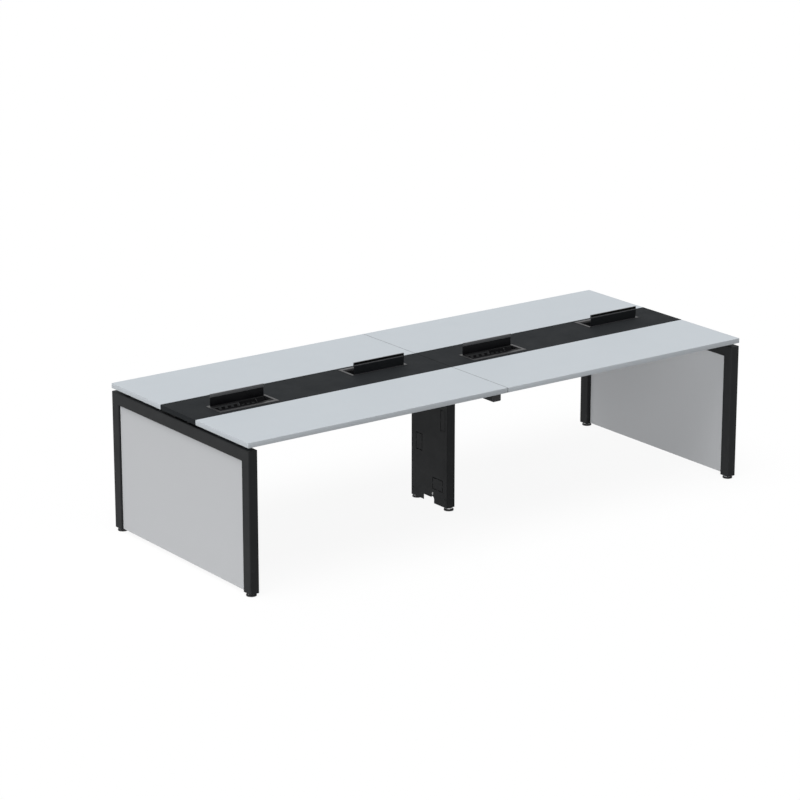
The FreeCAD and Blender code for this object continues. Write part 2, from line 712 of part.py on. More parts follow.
small_screws = []
tray_inside = tray_face + S.tray_sheet
for n, place in enumerate(tray_screw_places, start=1):
    small_screws.append(fuse(f"tray_screw_{n}", [
        rod(f"tray_screw_head_{n}", "y", S.small_head_radius, place,
            (tray_inside, tray_inside + S.small_head), tray_screw_level),
        rod(f"tray_screw_shank_{n}", "y", S.small_screw_radius, place,
            (tray_face - S.tube_wall - S.small_screw_bite, tray_inside + S.small_head / 2),
            tray_screw_level),
    ]))
for n, level in enumerate(riser_screw_levels, start=1):
    small_screws.append(fuse(f"riser_screw_{n}", [
        rod(f"riser_screw_head_{n}", "x", S.small_head_radius,
            (riser_left - S.small_head, riser_left), post_middle, level),
        rod(f"riser_screw_shank_{n}", "x", S.small_screw_radius,
            (riser_left - S.small_head / 2, riser_screw_tip), post_middle, level),
    ]))
sheet_inside = riser_left + S.riser_sheet
earth_stud = fuse("earth_stud", [
    rod("earth_stud_head", "x", S.small_head_radius, (riser_left - S.small_head, riser_left),
        S.earth_side, earth_level),
    rod("earth_stud_shank", "x", S.small_screw_radius, (riser_left - S.small_head / 2, riser_screw_tip),
        S.earth_side, earth_level),
    rod("earth_stud_nut", "x", S.earth_nut_radius, (sheet_inside, sheet_inside + S.earth_nut),
        S.earth_side, earth_level),
])
quarter_small_screws = four_ways("fixing_screws", group("quarter_small_screws", small_screws))
earth_stud_right = mirror("earth_stud_right", earth_stud, "x")
node(group("pan_head_screws", [quarter_small_screws, earth_stud, earth_stud_right]),
     "pan_head_screws")


# Plugs in the tube ends and the levelling feet that screw into them

inner_radius = at_least(S.tube_radius - S.tube_wall, LITTLE)
stem_hole = S.stem_radius + S.stem_play
leg_foot = (rail_line, front_edge + S.tube_face / 2)
post_foot = (ZERO, post_middle)


def plug(name, across, deep, x, y):
    blank = put(bar(f"{name}_blank", across, deep, S.plug_height, inner_radius),
                x - across / 2, y - deep / 2, S.foot_drop)
    bore = rod(f"{name}_bore", "z", stem_hole, x, y,
               (S.foot_drop - PAST, S.foot_drop + S.plug_height + PAST))
    return cut(name, blank, [bore])


leg_plug = plug("leg_plug", S.tube_depth - S.tube_wall * 2, S.tube_face - S.tube_wall * 2, *leg_foot)
post_plug = plug("post_plug", post_across - S.tube_wall * 2, S.post_face - S.tube_wall * 2, *post_foot)
cap_side = S.beam_side - S.tube_wall * 2
cap_face = put(bar("cap_face", S.beam_side, S.beam_side, S.cap_height, S.tube_radius),
               -half_beam, -S.cross_beam_reach - S.cap_height, frame_top, ALONG["y"])
cap_stub = put(bar("cap_stub", cap_side, cap_side, S.cap_depth + S.cap_height, inner_radius),
               -half_beam + S.tube_wall, -S.cross_beam_reach - S.cap_height,
               frame_top - S.tube_wall, ALONG["y"])
beam_cap = fuse("beam_cap", [cap_face, cap_stub])
middle_plugs = group("middle_plugs", [post_plug, beam_cap])
tube_plugs = group("tube_plugs", [four_ways("leg_plugs", leg_plug), middle_plugs,
                                  mirror("middle_plugs_rear", middle_plugs, "y")])
node(tube_plugs, "tube_plugs")

foot = doc.addObject("PartDesign::Body", "foot")
foot_profile = sketch_on(foot, "foot_profile", "XZ_Plane")
collar_top = S.foot_drop - S.collar_play
outline(foot_profile, [
    (ZERO, ZERO),
    (S.foot_radius, ZERO),
    (S.foot_radius, S.foot_base - S.foot_edge),
    (S.foot_radius - S.foot_edge, S.foot_base),
    (S.collar_radius, S.foot_base),
    (S.collar_radius, collar_top),
    (S.stem_radius, collar_top),
    (S.stem_radius, collar_top + S.stem_length),
    (ZERO, collar_top + S.stem_length),
])
foot_turning = foot.newObject("PartDesign::Revolution", "foot_turning")
foot_turning.Profile = foot_profile
foot_turning.ReferenceAxis = (foot_profile, ["V_Axis"])
foot_turning.Angle = 360
foot.Tip = foot_turning
leg_x, leg_y = leg_foot
post_x, post_y = post_foot
for label, x, y in (
    ("foot_front_left", leg_x, leg_y),
    ("foot_front_right", -leg_x, leg_y),
    ("foot_rear_left", leg_x, -leg_y),
    ("foot_rear_right", -leg_x, -leg_y),
    ("foot_centre_front", post_x, post_y),
    ("foot_centre_rear", post_x, -post_y),
):
    node(copy_to(label, foot, x, y, 0), label)


# Access flap, drawn round the middle of its mouth at board height, with its user towards +Y

half_mouth = S.mouth_length / 2
half_bezel = S.bezel_length / 2
mouth_x = (-half_mouth, half_mouth)
mouth_y = (S.mouth_back, S.mouth_front)
hinge_level = S.bezel_lip - S.barrel_radius

bezel_flange = box("bezel_flange", (-half_bezel, half_bezel), (S.bezel_back, S.bezel_front),
                   (ZERO, S.bezel_lip))
bezel_collar = box("bezel_collar", (-half_mouth - S.collar_wall, half_mouth + S.collar_wall),
                   (S.mouth_back - S.collar_wall, S.mouth_front + S.collar_wall),
                   (S.collar_gap - S.board_thickness, S.bezel_lip))
bezel_mouth = box("bezel_mouth", mouth_x, mouth_y, (-S.board_thickness - PAST, S.bezel_lip + PAST))
pin_reach = half_mouth - S.lid_side_gap + S.hinge_pin_length
bezel_pin_hole = rod("bezel_pin_hole", "x", S.hinge_pin_radius + S.hinge_play,
                     (-pin_reach - LITTLE, pin_reach + LITTLE), S.hinge_side, hinge_level)
bezel = cut("bezel", fuse("bezel_blank", [bezel_flange, bezel_collar]), [bezel_mouth])
bezel = cut("bezel_bored", bezel, [bezel_pin_hole])

# The lid is drawn shut, round its hinge axis.
half_lid = half_mouth - S.lid_side_gap
lid_reach = S.mouth_front - S.lid_front_gap - S.hinge_side
nose_start = lid_reach - S.nose_width
groove_y = (lid_reach - S.brush_width, lid_reach)
groove_z = (S.barrel_radius - S.brush_thickness, S.barrel_radius)
lid_blank = fuse("lid_blank", [
    rod("lid_barrel", "x", S.barrel_radius, (-half_lid, half_lid), 0, 0),
    rod("lid_pins", "x", S.hinge_pin_radius, (-pin_reach, pin_reach), 0, 0),
    box("lid_plate", (-half_lid, half_lid), (ZERO, lid_reach),
        (S.barrel_radius - S.lid_thickness, S.barrel_radius)),
    box("lid_nose", (-half_lid, half_lid), (nose_start, lid_reach),
        (S.barrel_radius - S.nose_thickness, S.barrel_radius)),
])
brush_groove = box("brush_groove", (-half_lid - PAST, half_lid + PAST),
                   (groove_y[0], groove_y[1] + PAST), (groove_z[0], groove_z[1] + PAST))
lid_shut = cut("lid_shut", lid_blank, [brush_groove])
brush_shut = box("brush_shut", (-half_lid, half_lid), groove_y, groove_z)


def opened(name, shut):
    stood = group(name, [shut])
    stood.Placement = FreeCAD.Placement(FreeCAD.Vector(), FreeCAD.Rotation(FreeCAD.Vector(1, 0, 0), 90))
    stood.setExpression("Placement.Rotation.Angle", S.lid_open_angle.text)
    return put(stood, 0, S.hinge_side, hinge_level)


# Power box under the spine, with a gland in its floor
box_top = -S.board_thickness
box_under = box_top - S.box_height
box_outer_x = (-half_mouth - S.box_wall, half_mouth + S.box_wall)
box_outer_y = (S.mouth_back - S.box_wall, S.mouth_front + S.box_wall)
gland_y = (S.mouth_back + S.mouth_front) / 2
box_blank = fuse("box_blank", [
    box("box_body", box_outer_x, box_outer_y, (box_under, box_top)),
    box("box_rim", (box_outer_x[0] - S.box_flange, box_outer_x[1] + S.box_flange),
        (box_outer_y[0] - S.box_flange, box_outer_y[1] + S.box_flange), (box_top - S.box_wall, box_top)),
    rod("box_gland", "z", S.gland_radius, S.gland_side, gland_y,
        (box_under - S.gland_length, box_under + S.box_wall)),
])
box_room = box("box_room", mouth_x, mouth_y, (box_under + S.box_wall, box_top + PAST))
box_hollow = cut("box_hollow", box_blank, [box_room])
gland_hole = rod("gland_hole", "z", S.gland_bore, S.gland_side, gland_y,
                 (box_under - S.gland_length - PAST, box_under + S.box_wall + PAST))
power_box = cut("power_box", box_hollow, [gland_hole])

# Socket strip, drawn flat with its upper rear edge at the origin
strip_block = box("strip_block", mouth_x, (ZERO, S.strip_width), (-S.strip_thickness, ZERO))
strip_cuts = []
contact_holes = []
for n in range(SOCKETS):
    place = half_mouth - S.socket_inset - S.socket_pitch * n
    half_socket = S.socket_side / 2
    strip_cuts.append(box(f"socket_{n + 1}", (place - half_socket, place + half_socket),
                          (S.socket_row - half_socket, S.socket_row + half_socket),
                          (-S.socket_depth, PAST)))
    for side_name, shift in (("upper", -S.contact_spread), ("lower", S.contact_spread)):
        contact_holes.append(rod(f"contact_{side_name}_{n + 1}", "z", S.contact_radius, place,
                                 S.socket_row + shift, (-S.socket_depth - S.contact_depth, PAST)))
for n in range(DATA_PORTS):
    place = S.data_inset + S.data_pitch * n - half_mouth
    strip_cuts.append(box(f"data_port_{n + 1}", (place - S.data_length / 2, place + S.data_length / 2),
                          (S.socket_row - S.data_width / 2, S.socket_row + S.data_width / 2),
                          (-S.data_depth, PAST)))
strip_pocketed = cut("strip_pocketed", strip_block, strip_cuts)
strip_flat = cut("strip_flat", strip_pocketed, contact_holes)
strip = group("strip", [strip_flat])
strip.Placement = FreeCAD.Placement(FreeCAD.Vector(), FreeCAD.Rotation(FreeCAD.Vector(-1, 0, 0), 30))
strip.setExpression("Placement.Rotation.Angle", S.strip_angle.text)
put(strip, 0, S.mouth_back + S.strip_back_gap, -S.strip_drop)

flap_pieces = (
    ("flap_bezel", bezel),
    ("flap_lid", opened("lid_open", lid_shut)),
    ("lid_brush", opened("brush_open", brush_shut)),
    ("power_box", power_box),
    ("socket_strip", strip),
)
half_turn = FreeCAD.Rotation(FreeCAD.Vector(0, 0, 1), 180)
for place_name, along, turn in (
    ("front_left", front_flap, half_turn),
    ("rear_left", rear_flap, ALONG["z"]),
    ("front_right", -rear_flap, half_turn),
    ("rear_right", -front_flap, ALONG["z"]),
):
    for piece_name, piece in flap_pieces:
        label = f"{piece_name}_{place_name}"
        node(copy_to(label, piece, along, 0, S.top_height, turn), label)


# Check the document and write one file for each piece

doc.recompute()
for thing in doc.Objects:
    for word in ("Invalid", "Error"):
        if word in thing.State:
            raise RuntimeError(f"{thing.Label} is {word.lower()}")
for piece in nodes:
    if piece.Shape.isNull() or not piece.Shape.isValid() or not piece.Shape.Solids:
        raise RuntimeError(f"{piece.Label} has no sound shape")

os.makedirs("parts", exist_ok=True)
for piece in nodes:
    solids = piece.Shape.Solids
    whole = solids[0] if len(solids) == 1 else Part.makeCompound(solids)
    whole.exportStep(f"parts/{piece.Label}.step")
    print(f"{piece.Label}: {len(solids)} solids, {whole.Volume / 1000:.1f} cm3")
print(f"{len(nodes)} nodes")
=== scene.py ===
"""Finishes and small fittings of a four-person bench desk, and the studio that it stands in."""

import math

import bmesh
import bpy
from bpy.props import FloatProperty, FloatVectorProperty, IntProperty, PointerProperty
from bpy.types import NodeSocket, Operator, Panel, PropertyGroup
from mathutils import Matrix, Vector


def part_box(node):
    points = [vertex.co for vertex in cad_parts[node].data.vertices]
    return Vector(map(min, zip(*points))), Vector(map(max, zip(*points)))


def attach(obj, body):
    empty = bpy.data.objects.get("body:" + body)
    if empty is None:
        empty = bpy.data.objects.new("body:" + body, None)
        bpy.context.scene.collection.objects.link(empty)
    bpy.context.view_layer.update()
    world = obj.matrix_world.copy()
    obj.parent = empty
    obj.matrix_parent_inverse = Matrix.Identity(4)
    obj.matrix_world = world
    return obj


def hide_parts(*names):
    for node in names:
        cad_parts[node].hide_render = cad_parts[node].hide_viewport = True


bl_info = {
    "name": "Four-person bench desk",
    "version": (1, 0, 0),
    "blender": (4, 5, 0),
    "location": "3D View > Sidebar > Bench desk",
    "description": "Gives the bench desk its finishes, its access flaps and its small fittings",
    "category": "Object",
}

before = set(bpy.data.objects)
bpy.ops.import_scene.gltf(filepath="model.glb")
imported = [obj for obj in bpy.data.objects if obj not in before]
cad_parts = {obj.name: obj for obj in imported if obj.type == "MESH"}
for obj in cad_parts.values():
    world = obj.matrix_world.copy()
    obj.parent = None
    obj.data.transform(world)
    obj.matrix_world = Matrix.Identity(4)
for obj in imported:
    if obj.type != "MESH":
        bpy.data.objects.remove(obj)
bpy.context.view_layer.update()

FLAPS = ("front_left", "rear_left", "front_right", "rear_right")
FEET = ("front_left", "front_right", "rear_left", "rear_right", "centre_front", "centre_rear")
UP = Vector((0.0, 0.0, 1.0))
WHITE = (1.0, 1.0, 1.0, 1.0)
NODE_STEP = 220

# Lengths in metres, and how far the middle of a rounding is set in as a part of its radius
MILLIMETRE = 0.001
SHARP_CORNER = 1e-5
SAME_POINT = 1e-6
CUT_THROUGH = 0.1
MID_ROUND = 1.0 - math.sqrt(0.5)


# Sizes and colours that a user would change

def length(name, description, default):
    """A length in metres, shown in the units of the scene."""
    return FloatProperty(name=name, description=description, default=default, min=0.0,
                         precision=5, unit="LENGTH")


def tint(name, description, default):
    """A colour as linear red, green and blue."""
    return FloatVectorProperty(name=name, description=description, default=default, size=3,
                               min=0.0, max=1.0, subtype="COLOR")


class DeskColours(PropertyGroup):
    """Colours of the desk's finishes."""
    worktop: tint("Worktop", "Pale grey laminate of the worktops", (0.608, 0.651, 0.688))
    edge_band: tint("Edge band", "Band glued round the worktops", (0.569, 0.605, 0.637))
    end_panel: tint("End panel", "Pale grey laminate of the end panels", (0.588, 0.598, 0.613))
    spine: tint("Spine", "Black laminate between the worktops", (0.020, 0.022, 0.024))
    frame_coat: tint("Frame", "Black powder coat of the frame", (0.020, 0.021, 0.022))
    moulding: tint("Mouldings", "Black plastic of feet, plugs and boxes", (0.013, 0.013, 0.014))
    flap_grey: tint("Flap grey", "Grey satin metal of the bezels", (0.024, 0.024, 0.026))
    lid_edge: tint("Lid edge", "Satin metal along the lids' free edges", (0.115, 0.116, 0.120))
    lid_black: tint("Lid black", "Inner face of the lids", (0.003, 0.003, 0.004))
    bristle: tint("Bristles", "Black bristles along the lids", (0.002, 0.002, 0.002))
    socket_grey: tint("Socket grey", "Grey plastic of the socket strips", (0.028, 0.029, 0.030))
    socket_dark: tint("Socket dark", "Black plastic inside the sockets", (0.003, 0.003, 0.0035))
    separator: tint("Separator", "Metal bars between the socket modules", (0.055, 0.056, 0.058))
    zinc: tint("Zinc", "Zinc plate on bolts, earth studs, pins and foot rings", (0.420, 0.425, 0.430))


class FlapSizes(PropertyGroup):
    """Sizes of an access flap and what is in it."""
    lip: length("Bezel height", "Height of the bezel above the boards", 0.0025)
    round_edge: length("Bezel edge", "Rounding of the bezel's edges", 0.0009)
    mouth_half: length("Mouth half length", "Half the length of the opening", 0.153)
    mouth_back: length("Mouth back", "Rear of the opening from the middle of the desk", 0.0155)
    mouth_front: length("Mouth front", "Front of the opening from the middle of the desk", 0.086)
    shelf_front: length("Shelf front", "Front of the cable shelf from the middle of the desk", 0.107)
    shelf_level: length("Shelf level", "Height of the cable shelf above the boards", 0.0005)
    collar: length("Collar wall", "Thickness of the bezel's collar", 0.004)
    collar_drop: length("Collar drop", "Depth of the collar below the boards", 0.022)
    hinge_side: length("Hinge side", "Hinge from the middle of the desk", 0.020)
    hinge_drop: length("Hinge drop", "Hinge below the top of the boards", 0.0015)
    barrel: length("Barrel radius", "Radius of the lid's hinge barrel", 0.004)
    lid_half: length("Lid half length", "Half the length of the lid", 0.1515)
    lid_reach: length("Lid reach", "Hinge to the lid's free edge", 0.064)
    lid_under: length("Lid under face", "Lid's under face above the hinge", 0.001)
    nose: length("Lid edge width", "Width of the thick edge of the lid", 0.017)
    brush_width: length("Brush width", "Width of the brush in the lid's edge", 0.012)
    opened: FloatProperty(name="Opened", description="Angle of the lids as shown",
                          default=math.radians(93.0), subtype="ANGLE")
    strip_back: length("Strip back", "Strip's upper edge from the middle of the desk", 0.027)
    strip_drop: length("Strip drop", "Strip's upper edge below the boards", 0.0012)
    strip_width: length("Strip width", "Width of the socket strip down its slope", 0.046)
    strip_slope: FloatProperty(name="Strip slope", description="Slope of the strip to the user",
                               default=math.radians(42.0), subtype="ANGLE")
    socket_row: length("Socket row", "Sockets from the strip's upper edge", 0.018)
    first_socket: length("First socket", "Outermost socket from the middle of the strip", 0.125)
    socket_pitch: length("Socket pitch", "Distance between two sockets", 0.0345)
    first_port: length("First data port", "Outermost data port from the middle of the strip", 0.078)
    port_pitch: length("Data port pitch", "Distance between two data ports", 0.029)
    module_end: length("Module end", "Far end of the data module from the strip's middle", 0.098)
    bristles: IntProperty(name="Bristles", description="Bristles along one row of a brush",
                          default=300, min=10)


class FittingSizes(PropertyGroup):
    """Sizes of screws, bolts, foot rings and cable glands."""
    pan_head: length("Pan head", "Radius of a small screw's head", 0.005)
    pan_height: length("Pan height", "Height of a small screw's head", 0.0025)
    bolt_head: length("Bolt head", "Radius of a bolt's head", 0.0065)
    bolt_height: length("Bolt height", "Height of a bolt's head", 0.005)
    foot_ring: length("Foot ring", "Radius of the knurled ring on a foot", 0.0187)
    foot_ring_low: length("Foot ring low", "Lower edge of the ring above the floor", 0.0082)
    foot_ring_high: length("Foot ring high", "Upper edge of the ring above the floor", 0.0144)
    foot_bore: length("Foot ring bore", "Radius of the hole in the ring on a foot", 0.006)
    foot_flute: length("Foot ring flute", "Depth of a flute in the ring on a foot", 0.0006)
    gland_nut: length("Gland nut", "Radius of a cable gland's nut", 0.0146)
    gland_bore: length("Gland bore", "Radius of the hole in a cable gland", 0.010)
    gland_height: length("Gland height", "Height of a cable gland's nut", 0.008)
    gland_flute: length("Gland flute", "Depth of a flute in a cable gland's nut", 0.0007)
    gland_along: length("Gland along", "Cable gland from the middle of its flap", 0.100)
    gland_across: length("Gland across", "Cable gland from the middle of the desk", 0.05075)


class StudioLevels(PropertyGroup):
    """Light and camera of the studio."""
    room: FloatProperty(name="Room light", description="Strength of the even light", default=0.25)
    overhead: FloatProperty(name="Overhead light", description="Strength of the light from above",
                            default=2.15)
    side: FloatProperty(name="Side light", description="Strength of the light from the left",
                        default=1.38)
    floor_tone: FloatProperty(name="Floor tone", description="How much light the floor gives back",
                              default=0.35, min=0.0, max=1.0)
    shadow: FloatProperty(name="Floor shadow", description="How strongly the floor shows shadows",
                          default=0.10, min=0.0, max=1.0)
    lens: FloatProperty(name="Lens", description="Focal length of the camera", default=138.84,
                        unit="CAMERA")


# Helpers for node trees

NUMBER = "NodeSocketFloat"
WHOLE = "NodeSocketInt"
ARROW = "NodeSocketVector"
SHAPE = "NodeSocketGeometry"
FINISH = "NodeSocketMaterial"


def add_node(tree, kind, options=None, inputs=None):
    """Add a node, set its options, and fill its inputs with values or join them to other nodes."""
    made = tree.nodes.new(kind)
    made.location = (NODE_STEP * len(tree.nodes), 0)
    for option, choice in (options or {}).items():
        setattr(made, option, choice)
    for socket, given in (inputs or {}).items():
        for source in given if isinstance(given, list) else [given]:
            if isinstance(source, NodeSocket):
                tree.links.new(source, made.inputs[socket])
            else:
                made.inputs[socket].default_value = source
    return made


def out_of(tree, kind, options=None, inputs=None):
    """The first output of a new node."""
    return add_node(tree, kind, options, inputs).outputs[0]


def socket_list(tree, direction, sockets):
    """Give a node group its named inputs or outputs."""
    for name, kind in sockets.items():
        tree.interface.new_socket(name=name, in_out=direction, socket_type=kind)


def calc(tree, operation, *numbers):
    """The result of one sum, on values or on what other nodes put out."""
    return out_of(tree, "ShaderNodeMath", {"operation": operation}, dict(enumerate(numbers)))


def vector(tree, x=0.0, y=0.0, z=0.0):
    """A vector from its three parts."""
    return out_of(tree, "ShaderNodeCombineXYZ", inputs={0: x, 1: y, 2: z})


def noise(tree, place, scale, detail, roughness):
    """Noise over a place."""
    return out_of(tree, "ShaderNodeTexNoise", inputs={
        "Vector": place, "Scale": scale, "Detail": detail, "Roughness": roughness})


def ramp(tree, value, low, high, at_low=0.0, at_high=1.0):
    """A value spread from one range to another."""
    return out_of(tree, "ShaderNodeMapRange", inputs={
        0: value, 1: low, 2: high, 3: at_low, 4: at_high})


# Shared surface effects

def begin_effect(name, inputs, outputs):
    """A new surface effect with its named inputs and outputs."""
    group = bpy.data.node_groups.new(name, "ShaderNodeTree")
    socket_list(group, "INPUT", {"Vector": ARROW, **inputs})
    socket_list(group, "OUTPUT", dict.fromkeys(outputs, NUMBER))
    return group, add_node(group, "NodeGroupInput").outputs


def end_effect(group, **results):
    """Put out the results of a surface effect."""
    add_node(group, "NodeGroupOutput", inputs=results)
    return group


def pebble_grain():
    """Fine pebbled grain: a tone that varies a little and a height for the bump."""
    group, given = begin_effect("pebble_grain", {"Scale": NUMBER, "Coarse": NUMBER}, ("Tone", "Height"))
    fine = noise(group, given["Vector"], given["Scale"], detail=3.0, roughness=0.6)
    broad = noise(group, given["Vector"], given["Coarse"], detail=4.0, roughness=0.55)
    tone = calc(group, "MULTIPLY", calc(group, "ADD", fine, broad), 0.5)
    return end_effect(group, Tone=tone, Height=fine)


def drawn_lines():
    """Fine lines drawn along one direction, as on brushed or extruded metal."""
    group, given = begin_effect("drawn_lines", {"Stretch": ARROW, "Scale": NUMBER}, ("Tone", "Height"))
    drawn = out_of(group, "ShaderNodeVectorMath", {"operation": "MULTIPLY"}, {
        0: given["Vector"], 1: given["Stretch"]})
    lines = noise(group, drawn, given["Scale"], detail=5.0, roughness=0.65)
    return end_effect(group, Tone=lines, Height=lines)


def handling_marks():
    """Soft patches where hands and cloths have changed the sheen."""
    group, given = begin_effect("handling_marks", {"Scale": NUMBER, "Low": NUMBER, "High": NUMBER},
                                ("Roughness",))
    patches = noise(group, given["Vector"], given["Scale"], detail=5.0, roughness=0.6)
    return end_effect(group, Roughness=ramp(group, patches, 0.3, 0.7, given["Low"], given["High"]))


def floor_scuffs():
    """Faint scuffs near the floor, where shoes and brooms touch the metal."""
    group, given = begin_effect("floor_scuffs", {"Reach": NUMBER, "Scale": NUMBER}, ("Mask",))
    height = add_node(group, "ShaderNodeSeparateXYZ", inputs={0: given["Vector"]}).outputs[2]
    low = ramp(group, height, 0.0, given["Reach"], 1.0, 0.0)
    marks = noise(group, given["Vector"], given["Scale"], detail=6.0, roughness=0.7)
    return end_effect(group, Mask=calc(group, "MULTIPLY", low, ramp(group, marks, 0.56, 0.70)))


def joint_painted_shade():
    """A narrow line of painted shade along the joint between the two halves of the desk, standing in
    for the shadow in the gap there.
    """
    group, given = begin_effect("joint_painted_shade", {"Reach": NUMBER}, ("Mask",))
    along = out_of(group, "ShaderNodeSeparateXYZ", inputs={0: given["Vector"]})
    away = calc(group, "ABSOLUTE", along)
    return end_effect(group, Mask=ramp(group, away, 0.0, given["Reach"], 1.0, 0.0))


def effect(tree, make, **inputs):
    """Place a surface effect in a finish, and build it at its first use."""
    group = bpy.data.node_groups.get(make.__name__) or make()
    return add_node(tree, "ShaderNodeGroup", {"node_tree": group}, inputs).outputs


def shade(colour, factor):
    """A colour made lighter or darker, with full opacity."""
    return tuple(min(1.0, channel * factor) for channel in colour) + (1.0,)


def new_finish(name, roughness, specular, metallic=0.0):
    """An empty finish: its tree, its shader and the place on the object."""
    finish = bpy.data.materials.new(name)
    finish.use_nodes = True
    tree = finish.node_tree
    shader = tree.nodes["Principled BSDF"]
    shader.inputs["Roughness"].default_value = roughness
    shader.inputs["Specular IOR Level"].default_value = specular
    shader.inputs["Metallic"].default_value = metallic
    place = add_node(tree, "ShaderNodeTexCoord").outputs["Object"]
    return finish, tree, shader, place


def paint_over(tree, mask, under, over):
    """One colour over another, by a mask."""
    mixed = add_node(tree, "ShaderNodeMix", {"data_type": "RGBA"}, {0: mask, 6: under, 7: over})
    return mixed.outputs[2]


def two_tones(tree, colour, spread, tone):
    """The finish's colour, a little darker and lighter with the tone."""
    return paint_over(tree, tone, shade(colour, 1.0 - spread), shade(colour, 1.0 + spread))


def add_bump(tree, shader, height, strength, distance):
    """Raise the finish by a height."""
    bump = out_of(tree, "ShaderNodeBump", inputs={
        "Strength": strength, "Distance": distance, "Height": height})
    tree.links.new(bump, shader.inputs["Normal"])


def add_handling(tree, shader, place, roughness, change, scale):
    """Let the sheen change where the surface is touched."""
    marks = effect(tree, handling_marks, Vector=place, Scale=scale, Low=roughness - change,
                   High=roughness + change)
    tree.links.new(marks["Roughness"], shader.inputs["Roughness"])


def pebbled_finish(name, colour, roughness, specular, scale, coarse, spread, bump, handling=0.06,
                   scuffs=0.0, joint_shade=0.0):
    """Laminate, powder coat or moulded plastic, by the size of its grain."""
    known = bpy.data.materials.get(name)
    if known:
        return known
    finish, tree, shader, place = new_finish(name, roughness, specular)
    grain = effect(tree, pebble_grain, Vector=place, Scale=scale, Coarse=coarse)
    paint = two_tones(tree, colour, spread, grain["Tone"])
    if scuffs:
        marks = effect(tree, floor_scuffs, Vector=place, Reach=0.22, Scale=26.0)
        paint = paint_over(tree, marks["Mask"], paint, shade(colour, scuffs))
    # Painted shade: the colour is darkened along the middle joint, for the shadow in the gap between
    # the halves.
    if joint_shade:
        line = effect(tree, joint_painted_shade, Vector=place, Reach=0.0045)
        paint = paint_over(tree, line["Mask"], paint, shade(colour, joint_shade))
    tree.links.new(paint, shader.inputs["Base Color"])
    add_handling(tree, shader, place, roughness, handling, scale=9.0)
    add_bump(tree, shader, grain["Height"], bump, distance=0.0002)
    return finish


def drawn_finish(name, colour, roughness, metallic, stretch, spread, specular=0.5):
    """Metal or hair with fine lines along the way that it was drawn or brushed."""
    known = bpy.data.materials.get(name)
    if known:
        return known
    finish, tree, shader, place = new_finish(name, roughness, specular, metallic)
    lines = effect(tree, drawn_lines, Vector=place, Stretch=stretch, Scale=1.0)
    tree.links.new(two_tones(tree, colour, spread, lines["Tone"]), shader.inputs["Base Color"])
    add_handling(tree, shader, place, roughness, 0.06, scale=30.0)
    add_bump(tree, shader, lines["Height"], 0.05, distance=0.0001)
    return finish


# Finishes of the desk

def colours():
    return bpy.context.scene.bench_desk_colours


def worktop_finish():
    return pebbled_finish("pale_worktop_laminate", colours().worktop, roughness=0.60, specular=0.15,
                          scale=1400.0, coarse=2.5, spread=0.015, bump=0.06)


def edge_finish():
    # The band is darkened along the middle joint: painted shade for the gap's shadow.
    return pebbled_finish("pale_edge_band", colours().edge_band, roughness=0.55, specular=0.20,
                          scale=1100.0, coarse=5.0, spread=0.015, bump=0.05, joint_shade=0.45)


def panel_finish():
    return pebbled_finish("pale_panel_laminate", colours().end_panel, roughness=0.60, specular=0.15,
                          scale=1400.0, coarse=3.0, spread=0.015, bump=0.06)


def spine_finish():
    # The spine is darkened along the middle joint: painted shade for the gap's shadow.
    return pebbled_finish("black_spine_laminate", colours().spine, roughness=0.75, specular=0.05,
                          scale=1300.0, coarse=4.0, spread=0.10, bump=0.10, joint_shade=0.3)


def frame_finish():
    return pebbled_finish("black_powder_coat", colours().frame_coat, roughness=0.55, specular=0.10,
                          scale=1000.0, coarse=7.0, spread=0.12, bump=0.14, scuffs=1.9)


def moulding_finish():
    return pebbled_finish("black_moulding", colours().moulding, roughness=0.45, specular=0.30,
                          scale=1800.0, coarse=12.0, spread=0.10, bump=0.10)


def satin_metal(name, colour):
    return drawn_finish(name, colour, roughness=0.42, metallic=0.15, stretch=(14.0, 1500.0, 1500.0),
                        spread=0.10, specular=0.35)


def flap_finish():
    return satin_metal("flap_satin_metal", colours().flap_grey)


def lid_edge_finish():
    return satin_metal("lid_edge_satin_metal", colours().lid_edge)


def lid_finish():
    return pebbled_finish("lid_black_gloss", colours().lid_black, roughness=0.30, specular=0.16,
                          scale=1500.0, coarse=12.0, spread=0.08, bump=0.03, handling=0.08)


def bristle_finish():
    return drawn_finish("brush_bristles", colours().bristle, roughness=0.75, metallic=0.0,
                        stretch=(2200.0, 60.0, 60.0), spread=0.35, specular=0.03)


def socket_finish():
    return pebbled_finish("socket_grey_plastic", colours().socket_grey, roughness=0.50, specular=0.06,
                          scale=1900.0, coarse=18.0, spread=0.05, bump=0.06)


def socket_dark_finish():
    return pebbled_finish("socket_black_plastic", colours().socket_dark, roughness=0.45, specular=0.03,
                          scale=1900.0, coarse=18.0, spread=0.10, bump=0.06)


def separator_finish():
    return drawn_finish("separator_aluminium", colours().separator, roughness=0.40, metallic=0.30,
                        stretch=(1500.0, 40.0, 40.0), spread=0.08)


def zinc_finish():
    return drawn_finish("zinc_plate", colours().zinc, roughness=0.36, metallic=1.0,
                        stretch=(700.0, 700.0, 120.0), spread=0.14)


# Helpers for pieces

def use_finish(finish, *nodes):
    """Give the frame's own pieces their finish."""
    for name in nodes:
        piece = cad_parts[name]
        if not piece.material_slots:
            piece.data.materials.append(finish)
        for holder in piece.material_slots:
            holder.material = finish


def settle(piece, body, slot, *stands_for):
    """Let a finished piece move with its body, and hide the imported pieces that it stands for."""
    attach(piece, body)
    if stands_for:
        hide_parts(*stands_for)


def smooth_where_round(mesh, angle=32.0):
    """Smooth the rounded parts of a mesh and keep its edges crisp."""
    mesh.shade_smooth()
    mesh.set_sharp_from_angle(angle=math.radians(angle))


